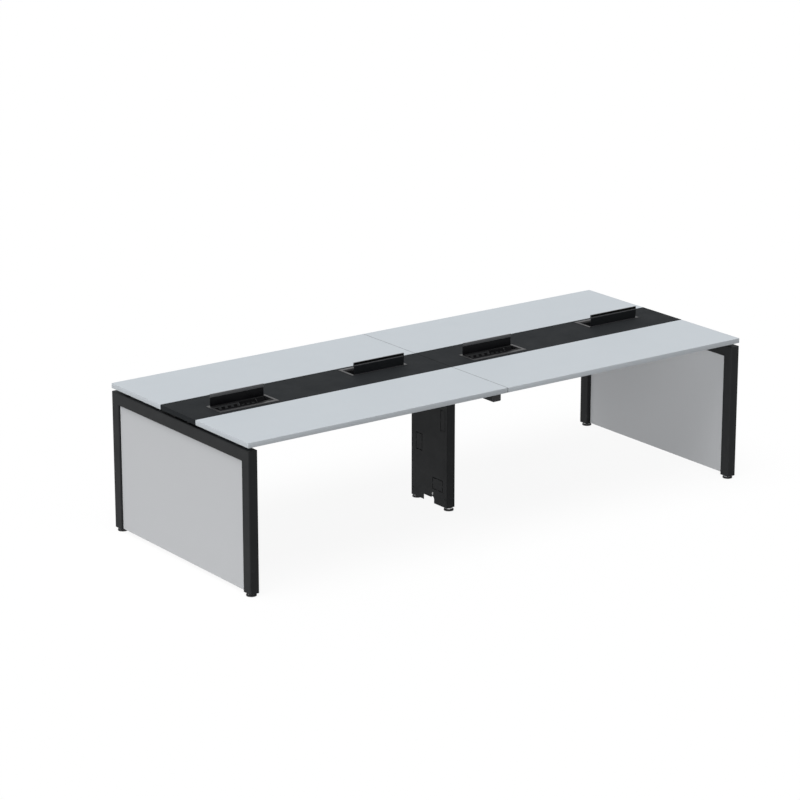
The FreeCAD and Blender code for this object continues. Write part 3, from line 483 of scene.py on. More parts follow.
def piece_from(name, shape, finish):
    """Close a bmesh that is in its place, turn its faces outwards and make it an object."""
    bmesh.ops.remove_doubles(shape, verts=shape.verts, dist=SAME_POINT)
    bmesh.ops.recalc_face_normals(shape, faces=shape.faces)
    mesh = bpy.data.meshes.new(name)
    shape.to_mesh(mesh)
    shape.free()
    mesh.materials.append(finish)
    smooth_where_round(mesh)
    piece = bpy.data.objects.new(name, mesh)
    bpy.context.scene.collection.objects.link(piece)
    return piece


def rounded_loop(low_x, high_x, low_y, high_y, level, radius, steps=4):
    """Points round a rectangle with rounded corners, at one level."""
    corners = ((high_x - radius, high_y - radius, 0.0), (low_x + radius, high_y - radius, 90.0),
               (low_x + radius, low_y + radius, 180.0), (high_x - radius, low_y + radius, 270.0))
    points = []
    for middle_x, middle_y, start in corners:
        for step in range(steps + 1):
            angle = math.radians(start + 90.0 * step / steps)
            points.append((middle_x + radius * math.cos(angle),
                           middle_y + radius * math.sin(angle), level))
    return points


def ring_of(shape, loops, place):
    """Join loops of points, each with as many points, into a closed ring."""
    rows = [[shape.verts.new(place @ Vector(point)) for point in loop] for loop in loops]
    count = len(rows[0])
    for number, row in enumerate(rows):
        following = rows[(number + 1) % len(rows)]
        for step in range(count):
            after = (step + 1) % count
            shape.faces.new((row[step], row[after], following[after], following[step]))


def extrusion(shape, outline, low, high, place, bevel=0.0004):
    """A profile in Y and Z drawn along X, with its ends closed and softened."""
    first = [shape.verts.new(place @ Vector((low, y, z))) for y, z in outline]
    last = [shape.verts.new(place @ Vector((high, y, z))) for y, z in outline]
    ends = [shape.faces.new(first), shape.faces.new(last)]
    count = len(outline)
    for step in range(count):
        after = (step + 1) % count
        shape.faces.new((first[step], first[after], last[after], last[step]))
    edges = list({edge for end in ends for edge in end.edges})
    bmesh.ops.bevel(shape, geom=edges, offset=bevel, segments=2, affect="EDGES", profile=0.5)


def rounded_outline(corners, steps=4):
    """A closed outline whose corners, given as Y, Z and radius, are rounded."""
    points = []
    count = len(corners)
    for number, (y, z, radius) in enumerate(corners):
        here = Vector((y, z))
        if radius <= 0.0:
            points.append((y, z))
            continue
        before = Vector(corners[number - 1][:2])
        after = Vector(corners[(number + 1) % count][:2])
        start = here + (before - here).normalized() * radius
        end = here + (after - here).normalized() * radius
        for step in range(steps + 1):
            part = step / steps
            curve = start * (1 - part) ** 2 + here * 2 * part * (1 - part) + end * part ** 2
            points.append((curve.x, curve.y))
    return points


def flat_bar(back, front, low, high, radius):
    """Outline of a flat bar whose upper edges are rounded."""
    return rounded_outline([(back, low, 0.0), (front, low, 0.0), (front, high, radius),
                            (back, high, radius)])


def flap_place(name):
    """Place of a flap: X along it, Y from the desk's middle to the user, Z up from the boards."""
    low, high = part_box(f"flap_bezel_{name}")
    turn = math.pi if name.startswith("front") else 0.0
    top = high[2] - bpy.context.scene.bench_desk_flap.lip
    return Matrix.Translation(((low[0] + high[0]) / 2, 0.0, top)) @ Matrix.Rotation(turn, 4, "Z")


def lid_place(name):
    """Place of an opened lid: X along the hinge, Y to the free edge, Z out of its outer face."""
    flap = bpy.context.scene.bench_desk_flap
    hinge = Matrix.Translation((0.0, flap.hinge_side, -flap.hinge_drop))
    return flap_place(name) @ hinge @ Matrix.Rotation(flap.opened, 4, "X")


def strip_place(name):
    """Place of a socket strip's face: X along it, Y down its slope, Z out of its face."""
    flap = bpy.context.scene.bench_desk_flap
    edge = Matrix.Translation((0.0, flap.strip_back, -flap.strip_drop))
    return flap_place(name) @ edge @ Matrix.Rotation(-flap.strip_slope, 4, "X")


# Helpers for repeated fittings

def fitting_tree(name, inputs):
    """A geometry tree with named inputs, whose first input is the points to fit."""
    tree = bpy.data.node_groups.new(name, "GeometryNodeTree")
    socket_list(tree, "INPUT", {"Points": SHAPE, "Finish": FINISH, **inputs})
    socket_list(tree, "OUTPUT", {"Fittings": SHAPE})
    return tree, add_node(tree, "NodeGroupInput").outputs


def realized(tree, shape):
    """Instances made plain geometry."""
    return out_of(tree, "GeometryNodeRealizeInstances", inputs={0: shape})


def put_out(tree, given, instances):
    """Make the instances plain geometry, give them their finish and put them out."""
    done = out_of(tree, "GeometryNodeSetMaterial", inputs={
        "Geometry": realized(tree, instances), "Material": given["Finish"]})
    add_node(tree, "NodeGroupOutput", inputs={"Fittings": done})
    return tree


def close_tree(tree, given, fitting):
    """Set the fitting on every point, facing the way that the point says, and finish it."""
    facing = out_of(tree, "GeometryNodeInputNamedAttribute", {"data_type": "FLOAT_VECTOR"}, {
        "Name": "facing"})
    turned = out_of(tree, "FunctionNodeAlignRotationToVector", {"axis": "Z"}, {"Vector": facing})
    fitted = out_of(tree, "GeometryNodeInstanceOnPoints", inputs={
        "Points": given["Points"], "Instance": fitting, "Rotation": turned})
    return put_out(tree, given, fitted)


def moved(tree, shape, x=0.0, y=0.0, z=0.0):
    """A shape set off from its place."""
    return out_of(tree, "GeometryNodeTransform", inputs={
        0: shape, "Translation": vector(tree, x, y, z)})


def block(tree, x, y, z):
    """A block round the origin."""
    return out_of(tree, "GeometryNodeMeshCube", inputs={"Size": vector(tree, x, y, z)})


def drum(tree, sides, radius, depth):
    """A round or many-sided bar round the origin."""
    return out_of(tree, "GeometryNodeMeshCylinder", inputs={
        "Vertices": sides, "Radius": radius, "Depth": depth})


def combined(tree, operation, shapes):
    """What two or more shapes make together, or what they share."""
    return out_of(tree, "GeometryNodeMeshBoolean", {"operation": operation, "solver": "EXACT"}, {
        "Mesh 2": shapes})


def cut_from(tree, whole, cutters):
    """A shape less its cutters."""
    return out_of(tree, "GeometryNodeMeshBoolean", {"operation": "DIFFERENCE", "solver": "EXACT"}, {
        "Mesh 1": whole, "Mesh 2": cutters})


def pair_apart(tree, shape, spread):
    """Two of a shape, one up the slope and one down it."""
    return [moved(tree, shape, y=calc(tree, "MULTIPLY", spread, -1.0)), moved(tree, shape, y=spread)]


def fit_on(name, tree, places, finish, **sizes):
    """Run a geometry tree on places, each a point and the way it faces, and keep a plain mesh."""
    points = bpy.data.meshes.new(name + "_points")
    points.from_pydata([tuple(point) for point, _ in places], [], [])
    facing = points.attributes.new("facing", "FLOAT_VECTOR", "POINT")
    for number, (_, way) in enumerate(places):
        facing.data[number].vector = tuple(way)
    piece = bpy.data.objects.new(name, points)
    bpy.context.scene.collection.objects.link(piece)
    fitter = piece.modifiers.new("fittings", "NODES")
    fitter.node_group = tree
    wanted = {"Finish": finish, **sizes}
    for item in tree.interface.items_tree:
        if item.item_type == "SOCKET" and item.in_out == "INPUT" and item.name in wanted:
            fitter[item.identifier] = wanted[item.name]
    ready = piece.evaluated_get(bpy.context.evaluated_depsgraph_get())
    mesh = bpy.data.meshes.new_from_object(ready)
    mesh.name = name
    piece.modifiers.remove(fitter)
    piece.data = mesh
    mesh.materials.clear()
    mesh.materials.append(finish)
    smooth_where_round(mesh)
    return piece


def fastener_places(node):
    """Outer end and direction of the head of every screw or bolt in a node of the frame."""
    shape = bmesh.new()
    shape.from_mesh(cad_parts[node].data)
    bmesh.ops.remove_doubles(shape, verts=shape.verts, dist=SAME_POINT)
    waiting = set(shape.verts)
    places = []
    while waiting:
        found = {waiting.pop()}
        edge_of_search = list(found)
        while edge_of_search:
            here = edge_of_search.pop()
            for edge in here.link_edges:
                there = edge.other_vert(here)
                if there in waiting:
                    waiting.remove(there)
                    found.add(there)
                    edge_of_search.append(there)
        points = [vert.co.copy() for vert in found]
        low = Vector([min(point[axis] for point in points) for axis in range(3)])
        high = Vector([max(point[axis] for point in points) for axis in range(3)])
        middle = (low + high) / 2
        size = high - low
        along = max(range(3), key=lambda axis: size[axis])
        across = [axis for axis in range(3) if axis != along]
        spans = [sum((point - middle)[axis] ** 2 for axis in across) for point in points]
        near_widest = 0.8 * max(spans)
        heads = [point[along] for point, span in zip(points, spans) if span > near_widest]
        outward = 1.0 if sum(heads) / len(heads) > middle[along] else -1.0
        way = Vector((0.0, 0.0, 0.0))
        way[along] = outward
        end = middle.copy()
        end[along] = high[along] if outward > 0 else low[along]
        places.append((end, way))
    shape.free()
    return places


# Boards

class BENCHDESK_OT_boards(Operator):
    """Give the worktops, the spine and the end panels their laminate"""
    bl_idname = "bench_desk.boards"
    bl_label = "Finish the boards"

    def execute(self, context):
        use_finish(worktop_finish(), *(f"worktop_{flap}" for flap in FLAPS))
        use_finish(spine_finish(), "spine_panel_left", "spine_panel_right")
        use_finish(panel_finish(), "end_panel_left", "end_panel_right")
        return {"FINISHED"}


class BENCHDESK_OT_edge_bands(Operator):
    """Make the bands round the worktops, with softened edges"""
    bl_idname = "bench_desk.edge_bands"
    bl_label = "Make the edge bands"

    def execute(self, context):
        shape = bmesh.new()
        for flap in FLAPS:
            low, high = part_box(f"worktop_{flap}")
            self.one_band(shape, low, high)
        bands = piece_from("edge_bands_rounded", shape, edge_finish())
        settle(bands, "desk", "edge_band", "edge_bands")
        return {"FINISHED"}

    def one_band(self, shape, low, high):
        band = 2.0 * MILLIMETRE
        soft = 1.5 * MILLIMETRE
        outer = 2.0 * MILLIMETRE
        middle = 1.8 * MILLIMETRE
        inner = 1.2 * MILLIMETRE

        def loop(out, level, radius):
            return rounded_loop(low[0] - out, high[0] + out, low[1] - out, high[1] + out, level, radius)

        half_soft = soft * MID_ROUND
        loops = [
            loop(0.0, low[2], SHARP_CORNER),
            loop(band - soft, low[2], inner),
            loop(band - half_soft, low[2] + half_soft, middle),
            loop(band, low[2] + soft, outer),
            loop(band, high[2] - soft, outer),
            loop(band - half_soft, high[2] - half_soft, middle),
            loop(band - soft, high[2], inner),
            loop(0.0, high[2], SHARP_CORNER),
        ]
        ring_of(shape, loops, Matrix.Identity(4))


# Frame

class BENCHDESK_OT_frame(Operator):
    """Give the steel frame, the riser and the trays their powder coat"""
    bl_idname = "bench_desk.frame"
    bl_label = "Finish the frame"

    def execute(self, context):
        legs = [f"leg_{flap}" for flap in FLAPS]
        beams = [f"beam_{flap}" for flap in FLAPS]
        use_finish(frame_finish(), *legs, *beams, "top_rail_left", "top_rail_right",
                   "centre_post_front", "centre_post_rear", "riser_panel_left", "riser_panel_right",
                   "centre_cross_beam", "beam_end_plates", "cable_tray_left", "cable_tray_right")
        use_finish(moulding_finish(), "tube_plugs", "standoffs", *(f"foot_{foot}" for foot in FEET),
                   *(f"power_box_{flap}" for flap in FLAPS))
        use_finish(zinc_finish(), "top_screws", "panel_pins")
        return {"FINISHED"}


# Screws and bolts

def seat(tree, given, head, half):
    """Let a head reach down from its point by its own height, and fit it."""
    return close_tree(tree, given, moved(tree, head, z=calc(tree, "MULTIPLY", half, -1.0)))


def pan_head_tree():
    """A low domed head with a cross recess."""
    tree, given = fitting_tree("pan_head", {"Radius": NUMBER, "Height": NUMBER})
    radius = given["Radius"]
    height = given["Height"]
    dome_part = 1.45
    slot_part = 0.24
    half = calc(tree, "MULTIPLY", height, 0.5)
    ball = out_of(tree, "GeometryNodeMeshUVSphere", inputs={
        "Segments": 32, "Rings": 24, "Radius": calc(tree, "MULTIPLY", radius, dome_part)})
    lowered = moved(tree, ball, z=calc(tree, "MULTIPLY_ADD", radius, -dome_part, half))
    dome = combined(tree, "INTERSECT", [drum(tree, 24, radius, height), lowered])
    thin = calc(tree, "MULTIPLY", radius, slot_part)
    cross = combined(tree, "UNION", [block(tree, radius, thin, height),
                                     block(tree, thin, radius, height)])
    return seat(tree, given, cut_from(tree, dome, [moved(tree, cross, z=half)]), half)


def socket_head_tree():
    """A round bolt head with a six-sided recess."""
    tree, given = fitting_tree("socket_head", {"Radius": NUMBER, "Height": NUMBER})
    radius = given["Radius"]
    height = given["Height"]
    key_part = 0.55
    half = calc(tree, "MULTIPLY", height, 0.5)
    hexagon = drum(tree, 6, calc(tree, "MULTIPLY", radius, key_part), height)
    head = cut_from(tree, drum(tree, 28, radius, height), [moved(tree, hexagon, z=half)])
    return seat(tree, given, head, half)


class BENCHDESK_OT_fasteners(Operator):
    """Make the heads of the screws and bolts that can be seen"""
    bl_idname = "bench_desk.fasteners"
    bl_label = "Make the screw and bolt heads"

    def execute(self, context):
        sizes = context.scene.bench_desk_fittings
        tree = pan_head_tree()
        head = {"Radius": sizes.pan_head, "Height": sizes.pan_height}
        places = fastener_places("pan_head_screws")
        near_middle = 0.05
        coated = [place for place in places if abs(place[0].y) > near_middle]
        screws = fit_on("pan_heads", tree, coated, frame_finish(), **head)
        settle(screws, "desk", "steel_fastener", "pan_head_screws")
        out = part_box("riser_panel_right")[1][0] + sizes.pan_height
        earths = []
        for end, _ in places:
            if abs(end.y) <= near_middle:
                side = math.copysign(1.0, end.x)
                earths.append((Vector((side * out, end.y, end.z)), Vector((side, 0.0, 0.0))))
        studs = fit_on("earth_studs", tree, earths, zinc_finish(), **head)
        settle(studs, "desk", "steel_fastener", "pan_head_screws")
        bolts = fit_on("bolt_heads", socket_head_tree(), fastener_places("beam_bolts"), zinc_finish(),
                       Radius=sizes.bolt_head, Height=sizes.bolt_height)
        settle(bolts, "desk", "steel_fastener", "beam_bolts")
        return {"FINISHED"}


# Knurled rings

def knurled_tree():
    """A fluted ring with a bore, standing up from its point."""
    tree, given = fitting_tree("knurled_ring", {"Radius": NUMBER, "Height": NUMBER, "Bore": NUMBER,
                                                "Flute": NUMBER, "Flutes": WHOLE})
    circle = out_of(tree, "GeometryNodeCurvePrimitiveCircle", {"mode": "RADIUS"}, {
        "Resolution": calc(tree, "MULTIPLY", given["Flutes"], 2.0), "Radius": given["Radius"]})
    odd = calc(tree, "MODULO", out_of(tree, "GeometryNodeInputIndex"), 2.0)
    inward = calc(tree, "MULTIPLY", calc(tree, "MULTIPLY", odd, given["Flute"]), -1.0)
    place = out_of(tree, "GeometryNodeInputPosition")
    way = out_of(tree, "ShaderNodeVectorMath", {"operation": "NORMALIZE"}, {0: place})
    offset = out_of(tree, "ShaderNodeVectorMath", {"operation": "SCALE"}, {0: way, "Scale": inward})
    fluted = out_of(tree, "GeometryNodeSetPosition", inputs={"Geometry": circle, "Offset": offset})
    filled = out_of(tree, "GeometryNodeFillCurve", {"mode": "NGONS"}, {0: fluted})
    raised = out_of(tree, "GeometryNodeExtrudeMesh", {"mode": "FACES"}, {
        "Mesh": filled, "Offset": vector(tree, z=1.0), "Offset Scale": given["Height"],
        "Individual": False})
    under = out_of(tree, "GeometryNodeFlipFaces", inputs={0: filled})
    both = out_of(tree, "GeometryNodeJoinGeometry", inputs={0: [under, raised]})
    solid = out_of(tree, "GeometryNodeMergeByDistance", inputs={0: both, "Distance": SAME_POINT})
    drill = drum(tree, 40, given["Bore"], CUT_THROUGH)
    return close_tree(tree, given, cut_from(tree, solid, [drill]))


class BENCHDESK_OT_rings(Operator):
    """Make the knurled rings of the feet and the nuts of the cable glands"""
    bl_idname = "bench_desk.rings"
    bl_label = "Make the foot rings and gland nuts"

    def execute(self, context):
        sizes = context.scene.bench_desk_fittings
        tree = knurled_tree()
        for foot in FEET:
            low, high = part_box(f"foot_{foot}")
            place = Vector(((low[0] + high[0]) / 2, (low[1] + high[1]) / 2, sizes.foot_ring_low))
            ring = fit_on(f"foot_ring_{foot}", tree, [(place, UP)], zinc_finish(),
                          Radius=sizes.foot_ring, Height=sizes.foot_ring_high - sizes.foot_ring_low,
                          Bore=sizes.foot_bore, Flute=sizes.foot_flute, Flutes=36)
            settle(ring, f"foot_{foot}", "steel_fastener")
        nuts = []
        above_end = 1.0 * MILLIMETRE
        for flap in FLAPS:
            low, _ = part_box(f"power_box_{flap}")
            middle = flap_place(flap) @ Vector((sizes.gland_along, sizes.gland_across, 0.0))
            nuts.append((Vector((middle.x, middle.y, low[2] + above_end)), UP))
        glands = fit_on("gland_nuts", tree, nuts, moulding_finish(),
                        Radius=sizes.gland_nut, Height=sizes.gland_height,
                        Bore=sizes.gland_bore, Flute=sizes.gland_flute, Flutes=20)
        settle(glands, "desk", "black_plastic")
        return {"FINISHED"}


# Access flaps

class BENCHDESK_OT_bezels(Operator):
    """Make the bezels round the access flaps, with rounded edges"""
    bl_idname = "bench_desk.bezels"
    bl_label = "Make the flap bezels"

    def execute(self, context):
        flap = context.scene.bench_desk_flap
        for name in FLAPS:
            shape = bmesh.new()
            self.one_bezel(shape, flap, name)
            bezel = piece_from(f"bezel_{name}", shape, flap_finish())
            settle(bezel, "desk", "flap_metal", f"flap_bezel_{name}")
            self.cable_pad(flap, name)
        return {"FINISHED"}

    def cable_pad(self, flap, name):
        """The black pad on the shelf in front of the opening, where cables lie."""
        shape = bmesh.new()
        play = 0.6 * MILLIMETRE
        rounding = 0.4 * MILLIMETRE
        low = flap.shelf_level + 0.05 * MILLIMETRE
        high = low + 0.8 * MILLIMETRE
        outline = flat_bar(flap.mouth_front + play, flap.shelf_front - rounding, low, high, rounding)
        extrusion(shape, outline, play - flap.mouth_half, flap.mouth_half - play, flap_place(name))
        pad = piece_from(f"cable_pad_{name}", shape, socket_dark_finish())
        settle(pad, "desk", "black_plastic")

    def one_bezel(self, shape, flap, name):
        low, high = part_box(f"flap_bezel_{name}")
        half = (high[0] - low[0]) / 2
        sides = sorted((abs(low[1]), abs(high[1])))

        def opening(front, out, level):
            return rounded_loop(-flap.mouth_half - out, flap.mouth_half + out, flap.mouth_back - out,
                                front + out, level, SHARP_CORNER)

        def flange(inset, level):
            return rounded_loop(-half + inset, half - inset, sides[0] + inset, sides[1] - inset,
                                level, corner - inset)

        corner = 3.0 * MILLIMETRE
        soft = flap.round_edge
        part = soft * MID_ROUND
        loops = [
            opening(flap.mouth_front, flap.collar, -flap.collar_drop),
            opening(flap.mouth_front, flap.collar, 0.0),
            flange(0.0, 0.0),
            flange(0.0, flap.lip - soft),
            flange(part, flap.lip - part),
            flange(soft, flap.lip),
            opening(flap.shelf_front, soft, flap.lip),
            opening(flap.shelf_front, part, flap.lip - part),
            opening(flap.shelf_front, 0.0, flap.lip - soft),
            opening(flap.shelf_front, 0.0, flap.shelf_level),
            opening(flap.mouth_front, 0.0, flap.shelf_level),
            opening(flap.mouth_front, 0.0, -flap.collar_drop),
        ]
        ring_of(shape, loops, flap_place(name))


def along_lid(kind, outline, name, finish):
    """A profile drawn along the whole length of an opened lid."""
    half = bpy.context.scene.bench_desk_flap.lid_half
    shape = bmesh.new()
    extrusion(shape, outline, -half, half, lid_place(name))
    return piece_from(f"{kind}_{name}", shape, finish)


class BENCHDESK_OT_lids(Operator):
    """Make the opened lids: a black plate on its hinge barrel and a grey edge"""
    bl_idname = "bench_desk.lids"
    bl_label = "Make the flap lids"

    def execute(self, context):
        flap = context.scene.bench_desk_flap
        for name in FLAPS:
            plate = along_lid("lid_plate", self.plate_outline(flap), name, lid_finish())
            self.face_outer_side(plate, lid_place(name))
            settle(plate, f"lid_{name}", "flap_metal", f"flap_lid_{name}")
            edge = along_lid("lid_edge", self.edge_outline(flap), name, lid_edge_finish())
            settle(edge, f"lid_{name}", "flap_metal", f"flap_lid_{name}")
        return {"FINISHED"}

    def face_outer_side(self, plate, place):
        """Give the outer face of a lid the black laminate of the spine round it."""
        plate.data.materials.append(spine_finish())
        outward = place.to_3x3() @ UP
        for face in plate.data.polygons:
            if face.normal.dot(outward) > 0.5:
                face.material_index = 1

    def plate_outline(self, flap):
        """The thin plate and the round barrel that it turns on."""
        joint = flap.lid_reach - flap.nose
        start = math.degrees(math.asin(flap.lid_under / flap.barrel))
        outline = [(joint, flap.barrel), (joint, flap.lid_under)]
        steps = 20
        for step in range(steps + 1):
            angle = math.radians(start - (start + 270.0) * step / steps)
            outline.append((flap.barrel * math.cos(angle), flap.barrel * math.sin(angle)))
        return outline

    def edge_outline(self, flap):
        """The thick edge with the rebate for the brush."""
        joint = flap.lid_reach - flap.nose
        rebate = flap.lid_reach - flap.brush_width
        grip = 1.2 * MILLIMETRE
        lip = 0.5 * MILLIMETRE
        step = 0.4 * MILLIMETRE
        return rounded_outline([
            (joint, -flap.barrel, grip),
            (flap.lid_reach, -flap.barrel, grip),
            (flap.lid_reach, flap.lid_under, lip),
            (rebate, flap.lid_under, 0.0),
            (rebate, flap.barrel, step),
            (joint, flap.barrel, 0.0),
        ])


def bristle_tree():
    """Rows of fine tapered bristles that stand up from a grid, each a little astray."""
    tree, given = fitting_tree("bristle_rows", {"Length": NUMBER, "Depth": NUMBER, "Bristle": NUMBER,
                                                "Count": WHOLE, "Rows": WHOLE})
    rows = out_of(tree, "GeometryNodeMeshGrid", inputs={
        "Size X": given["Length"], "Size Y": given["Depth"],
        "Vertices X": given["Count"], "Vertices Y": given["Rows"]})
    hair = out_of(tree, "GeometryNodeMeshCone", inputs={
        "Vertices": 4, "Radius Top": 0.00018, "Radius Bottom": 0.00034, "Depth": given["Bristle"]})
    stray = Vector((0.02, 0.05, 0.8))
    astray = out_of(tree, "FunctionNodeRandomValue", {"data_type": "FLOAT_VECTOR"}, {
        0: -stray, 1: stray, "Seed": 7})
    smallest = (0.8, 0.8, 0.93)
    largest = (1.1, 1.1, 1.0)
    sizes = out_of(tree, "FunctionNodeRandomValue", {"data_type": "FLOAT_VECTOR"}, {
        0: smallest, 1: largest, "Seed": 11})
    set_out = out_of(tree, "GeometryNodeInstanceOnPoints", inputs={
        "Points": rows, "Instance": hair, "Rotation": astray, "Scale": sizes})
    return put_out(tree, given, set_out)


class BENCHDESK_OT_brushes(Operator):
    """Make the brushes in the edges of the lids, where cables come out when a lid is shut"""
    bl_idname = "bench_desk.brushes"
    bl_label = "Make the lid brushes"

    def execute(self, context):
        flap = context.scene.bench_desk_flap
        tree = bristle_tree()
        end_play = 3.0 * MILLIMETRE
        tip_play = 0.5 * MILLIMETRE
        middle = 2.5 * MILLIMETRE
        root = flap.lid_reach - flap.brush_width
        laid = Matrix.Translation((0.0, root, middle)) @ Matrix.Rotation(-math.pi / 2, 4, "X")
        for name in FLAPS:
            brush = fit_on(f"brush_{name}", tree, [(Vector(), UP)], bristle_finish(),
                           Length=2.0 * flap.lid_half - end_play, Depth=0.0019,
                           Bristle=flap.brush_width - tip_play, Count=flap.bristles, Rows=4)
            brush.data.transform(lid_place(name) @ laid)
            settle(brush, f"lid_{name}", "brush", f"lid_brush_{name}")
            holder = along_lid("brush_back", self.holder_outline(root), name, moulding_finish())
            settle(holder, f"lid_{name}", "brush", f"lid_brush_{name}")
        return {"FINISHED"}

    def holder_outline(self, root):
        """The back that holds the roots of the bristles."""
        near = root + 0.1 * MILLIMETRE
        far = root + 2.6 * MILLIMETRE
        low = 1.05 * MILLIMETRE
        high = 3.95 * MILLIMETRE
        slight = 0.3 * MILLIMETRE
        round_nose = 0.6 * MILLIMETRE
        return rounded_outline([(near, low, 0.0), (far, low, slight), (far, high, round_nose),
                                (near, high, slight)])


# Sockets

def rounded_curve(tree, width, height, radius, count):
    """A rectangle with rounded corners, as a curve."""
    straight = out_of(tree, "GeometryNodeCurvePrimitiveQuadrilateral", {"mode": "RECTANGLE"}, {
        "Width": width, "Height": height})
    return out_of(tree, "GeometryNodeFilletCurve", {"mode": "POLY"}, {
        "Curve": straight, "Radius": radius, "Count": count})


def frame_tree(name):
    """A rounded rectangular frame that lies round its point."""
    tree, given = fitting_tree(name, {"Width": NUMBER, "Height": NUMBER, "Bar": NUMBER, "Thick": NUMBER,
                                      "Corner": NUMBER})
    path = rounded_curve(tree, given["Width"], given["Height"], given["Corner"], count=5)
    section = rounded_curve(tree, given["Bar"], given["Thick"], 0.5 * MILLIMETRE, count=2)
    bars = out_of(tree, "GeometryNodeCurveToMesh", inputs={"Curve": path, "Profile Curve": section})
    return close_tree(tree, given, bars)


def well_tree():
    """The black floor of a socket, with two round contact holes."""
    tree, given = fitting_tree("socket_well", {"Side": NUMBER, "Thick": NUMBER, "Hole": NUMBER,
                                               "Spread": NUMBER})
    slab = block(tree, given["Side"], given["Side"], given["Thick"])
    drill = drum(tree, 16, given["Hole"], CUT_THROUGH)
    return close_tree(tree, given, cut_from(tree, slab, pair_apart(tree, drill, given["Spread"])))


def port_tree():
    """A black plate with two openings for data plugs, one above the other."""
    tree, given = fitting_tree("data_port", {"Width": NUMBER, "Height": NUMBER, "Thick": NUMBER,
                                             "Mouth": NUMBER, "Rise": NUMBER, "Spread": NUMBER})
    plate = block(tree, given["Width"], given["Height"], given["Thick"])
    opening = block(tree, given["Mouth"], given["Rise"], CUT_THROUGH)
    return close_tree(tree, given, cut_from(tree, plate, pair_apart(tree, opening, given["Spread"])))


def module_tree():
    """A thin black face with a row of openings for the data ports."""
    tree, given = fitting_tree("data_module", {"Length": NUMBER, "Width": NUMBER, "Thick": NUMBER,
                                               "Port": NUMBER, "Rise": NUMBER, "Pitch": NUMBER,
                                               "Ports": WHOLE})
    face = block(tree, given["Length"], given["Width"], given["Thick"])
    run = calc(tree, "MULTIPLY", calc(tree, "SUBTRACT", given["Ports"], 1.0), given["Pitch"])
    row = out_of(tree, "GeometryNodeMeshLine", {"mode": "OFFSET"}, {
        "Count": given["Ports"], "Start Location": vector(tree, x=calc(tree, "MULTIPLY", run, -0.5)),
        "Offset": vector(tree, x=given["Pitch"])})
    opening = block(tree, given["Port"], given["Rise"], CUT_THROUGH)
    spread = out_of(tree, "GeometryNodeInstanceOnPoints", inputs={"Points": row, "Instance": opening})
    return close_tree(tree, given, cut_from(tree, face, [realized(tree, spread)]))


class BENCHDESK_OT_sockets(Operator):
    """Make the sockets, the data ports and the bars between the modules"""
    bl_idname = "bench_desk.sockets"
    bl_label = "Make the sockets and data ports"

    def execute(self, context):
        flap = context.scene.bench_desk_flap
        use_finish(socket_finish(), *(f"socket_strip_{name}" for name in FLAPS))
        half = flap.strip_width / 2
        apart = 6.7 * MILLIMETRE
        sockets = [(flap.first_socket - flap.socket_pitch * number, flap.socket_row)
                   for number in range(4)]
        ports = [(-flap.first_port + flap.port_pitch * number, half) for number in range(3)]
        mouths = [(x, y + step) for x, y in ports for step in (-apart, apart)]
        self.fit("socket_rims", frame_tree("socket_rim"), sockets, socket_finish(), level=-0.0012,
                 Width=0.0233, Height=0.0233, Bar=0.0042, Thick=0.0026, Corner=0.0030)
        self.fit("socket_wells", well_tree(), sockets, socket_dark_finish(), level=-0.0025,
                 Side=0.0200, Thick=0.0008, Hole=0.0024, Spread=0.007)
        self.fit("data_plates", port_tree(), ports, socket_dark_finish(), level=-0.0013,
                 Width=0.0216, Height=0.0276, Thick=0.0016, Mouth=0.0150, Rise=0.0095, Spread=apart)
        self.fit("data_lips", frame_tree("data_lip"), mouths, socket_finish(), level=-0.0004,
                 Width=0.0155, Height=0.0100, Bar=0.0012, Thick=0.0008, Corner=0.0010)
        self.fit("data_modules", module_tree(), [(-flap.module_end / 2, half)], socket_dark_finish(),
                 level=0.0003, Length=flap.module_end - 0.0016, Width=flap.strip_width - 0.0015,
                 Thick=0.0005, Port=0.0220, Rise=0.0280, Pitch=flap.port_pitch, Ports=3)
        self.blank_modules(flap)
        self.separators(flap)
        return {"FINISHED"}

    def fit(self, name, tree, spots, finish, level, **sizes):
        """Fit one piece on the same spots of all the strips, each facing as its strip does."""
        places = []
        for flap in FLAPS:
            place = strip_place(flap)
            way = (place.to_3x3() @ UP).normalized()
            places.extend((place @ Vector((x, y, level)), way) for x, y in spots)
        settle(fit_on(name, tree, places, finish, **sizes), "desk", "socket_plastic")

    def blank_modules(self, flap):
        """The black cover of the empty end of every strip."""
        shape = bmesh.new()
        play = 0.8 * MILLIMETRE
        outline = flat_bar(play, flap.strip_width - play, low=0.05 * MILLIMETRE, high=0.8 * MILLIMETRE,
                           radius=0.4 * MILLIMETRE)
        for name in FLAPS:
            extrusion(shape, outline, play - flap.mouth_half, -flap.module_end - play,
                      strip_place(name))
        cover = piece_from("blank_modules", shape, socket_dark_finish())
        settle(cover, "desk", "socket_plastic")

    def separators(self, flap):
        """The metal bars at both ends of every data module."""
        shape = bmesh.new()
        half = 0.7 * MILLIMETRE
        rounding = 0.4 * MILLIMETRE
        outline = flat_bar(rounding, flap.strip_width - rounding, low=0.0, high=1.0 * MILLIMETRE,
                           radius=rounding)
        for name in FLAPS:
            for middle in (0.0, -flap.module_end):
                extrusion(shape, outline, middle - half, middle + half, strip_place(name),
                          bevel=0.2 * MILLIMETRE)
        bars = piece_from("module_separators", shape, separator_finish())
        settle(bars, "desk", "socket_plastic")


# Studio

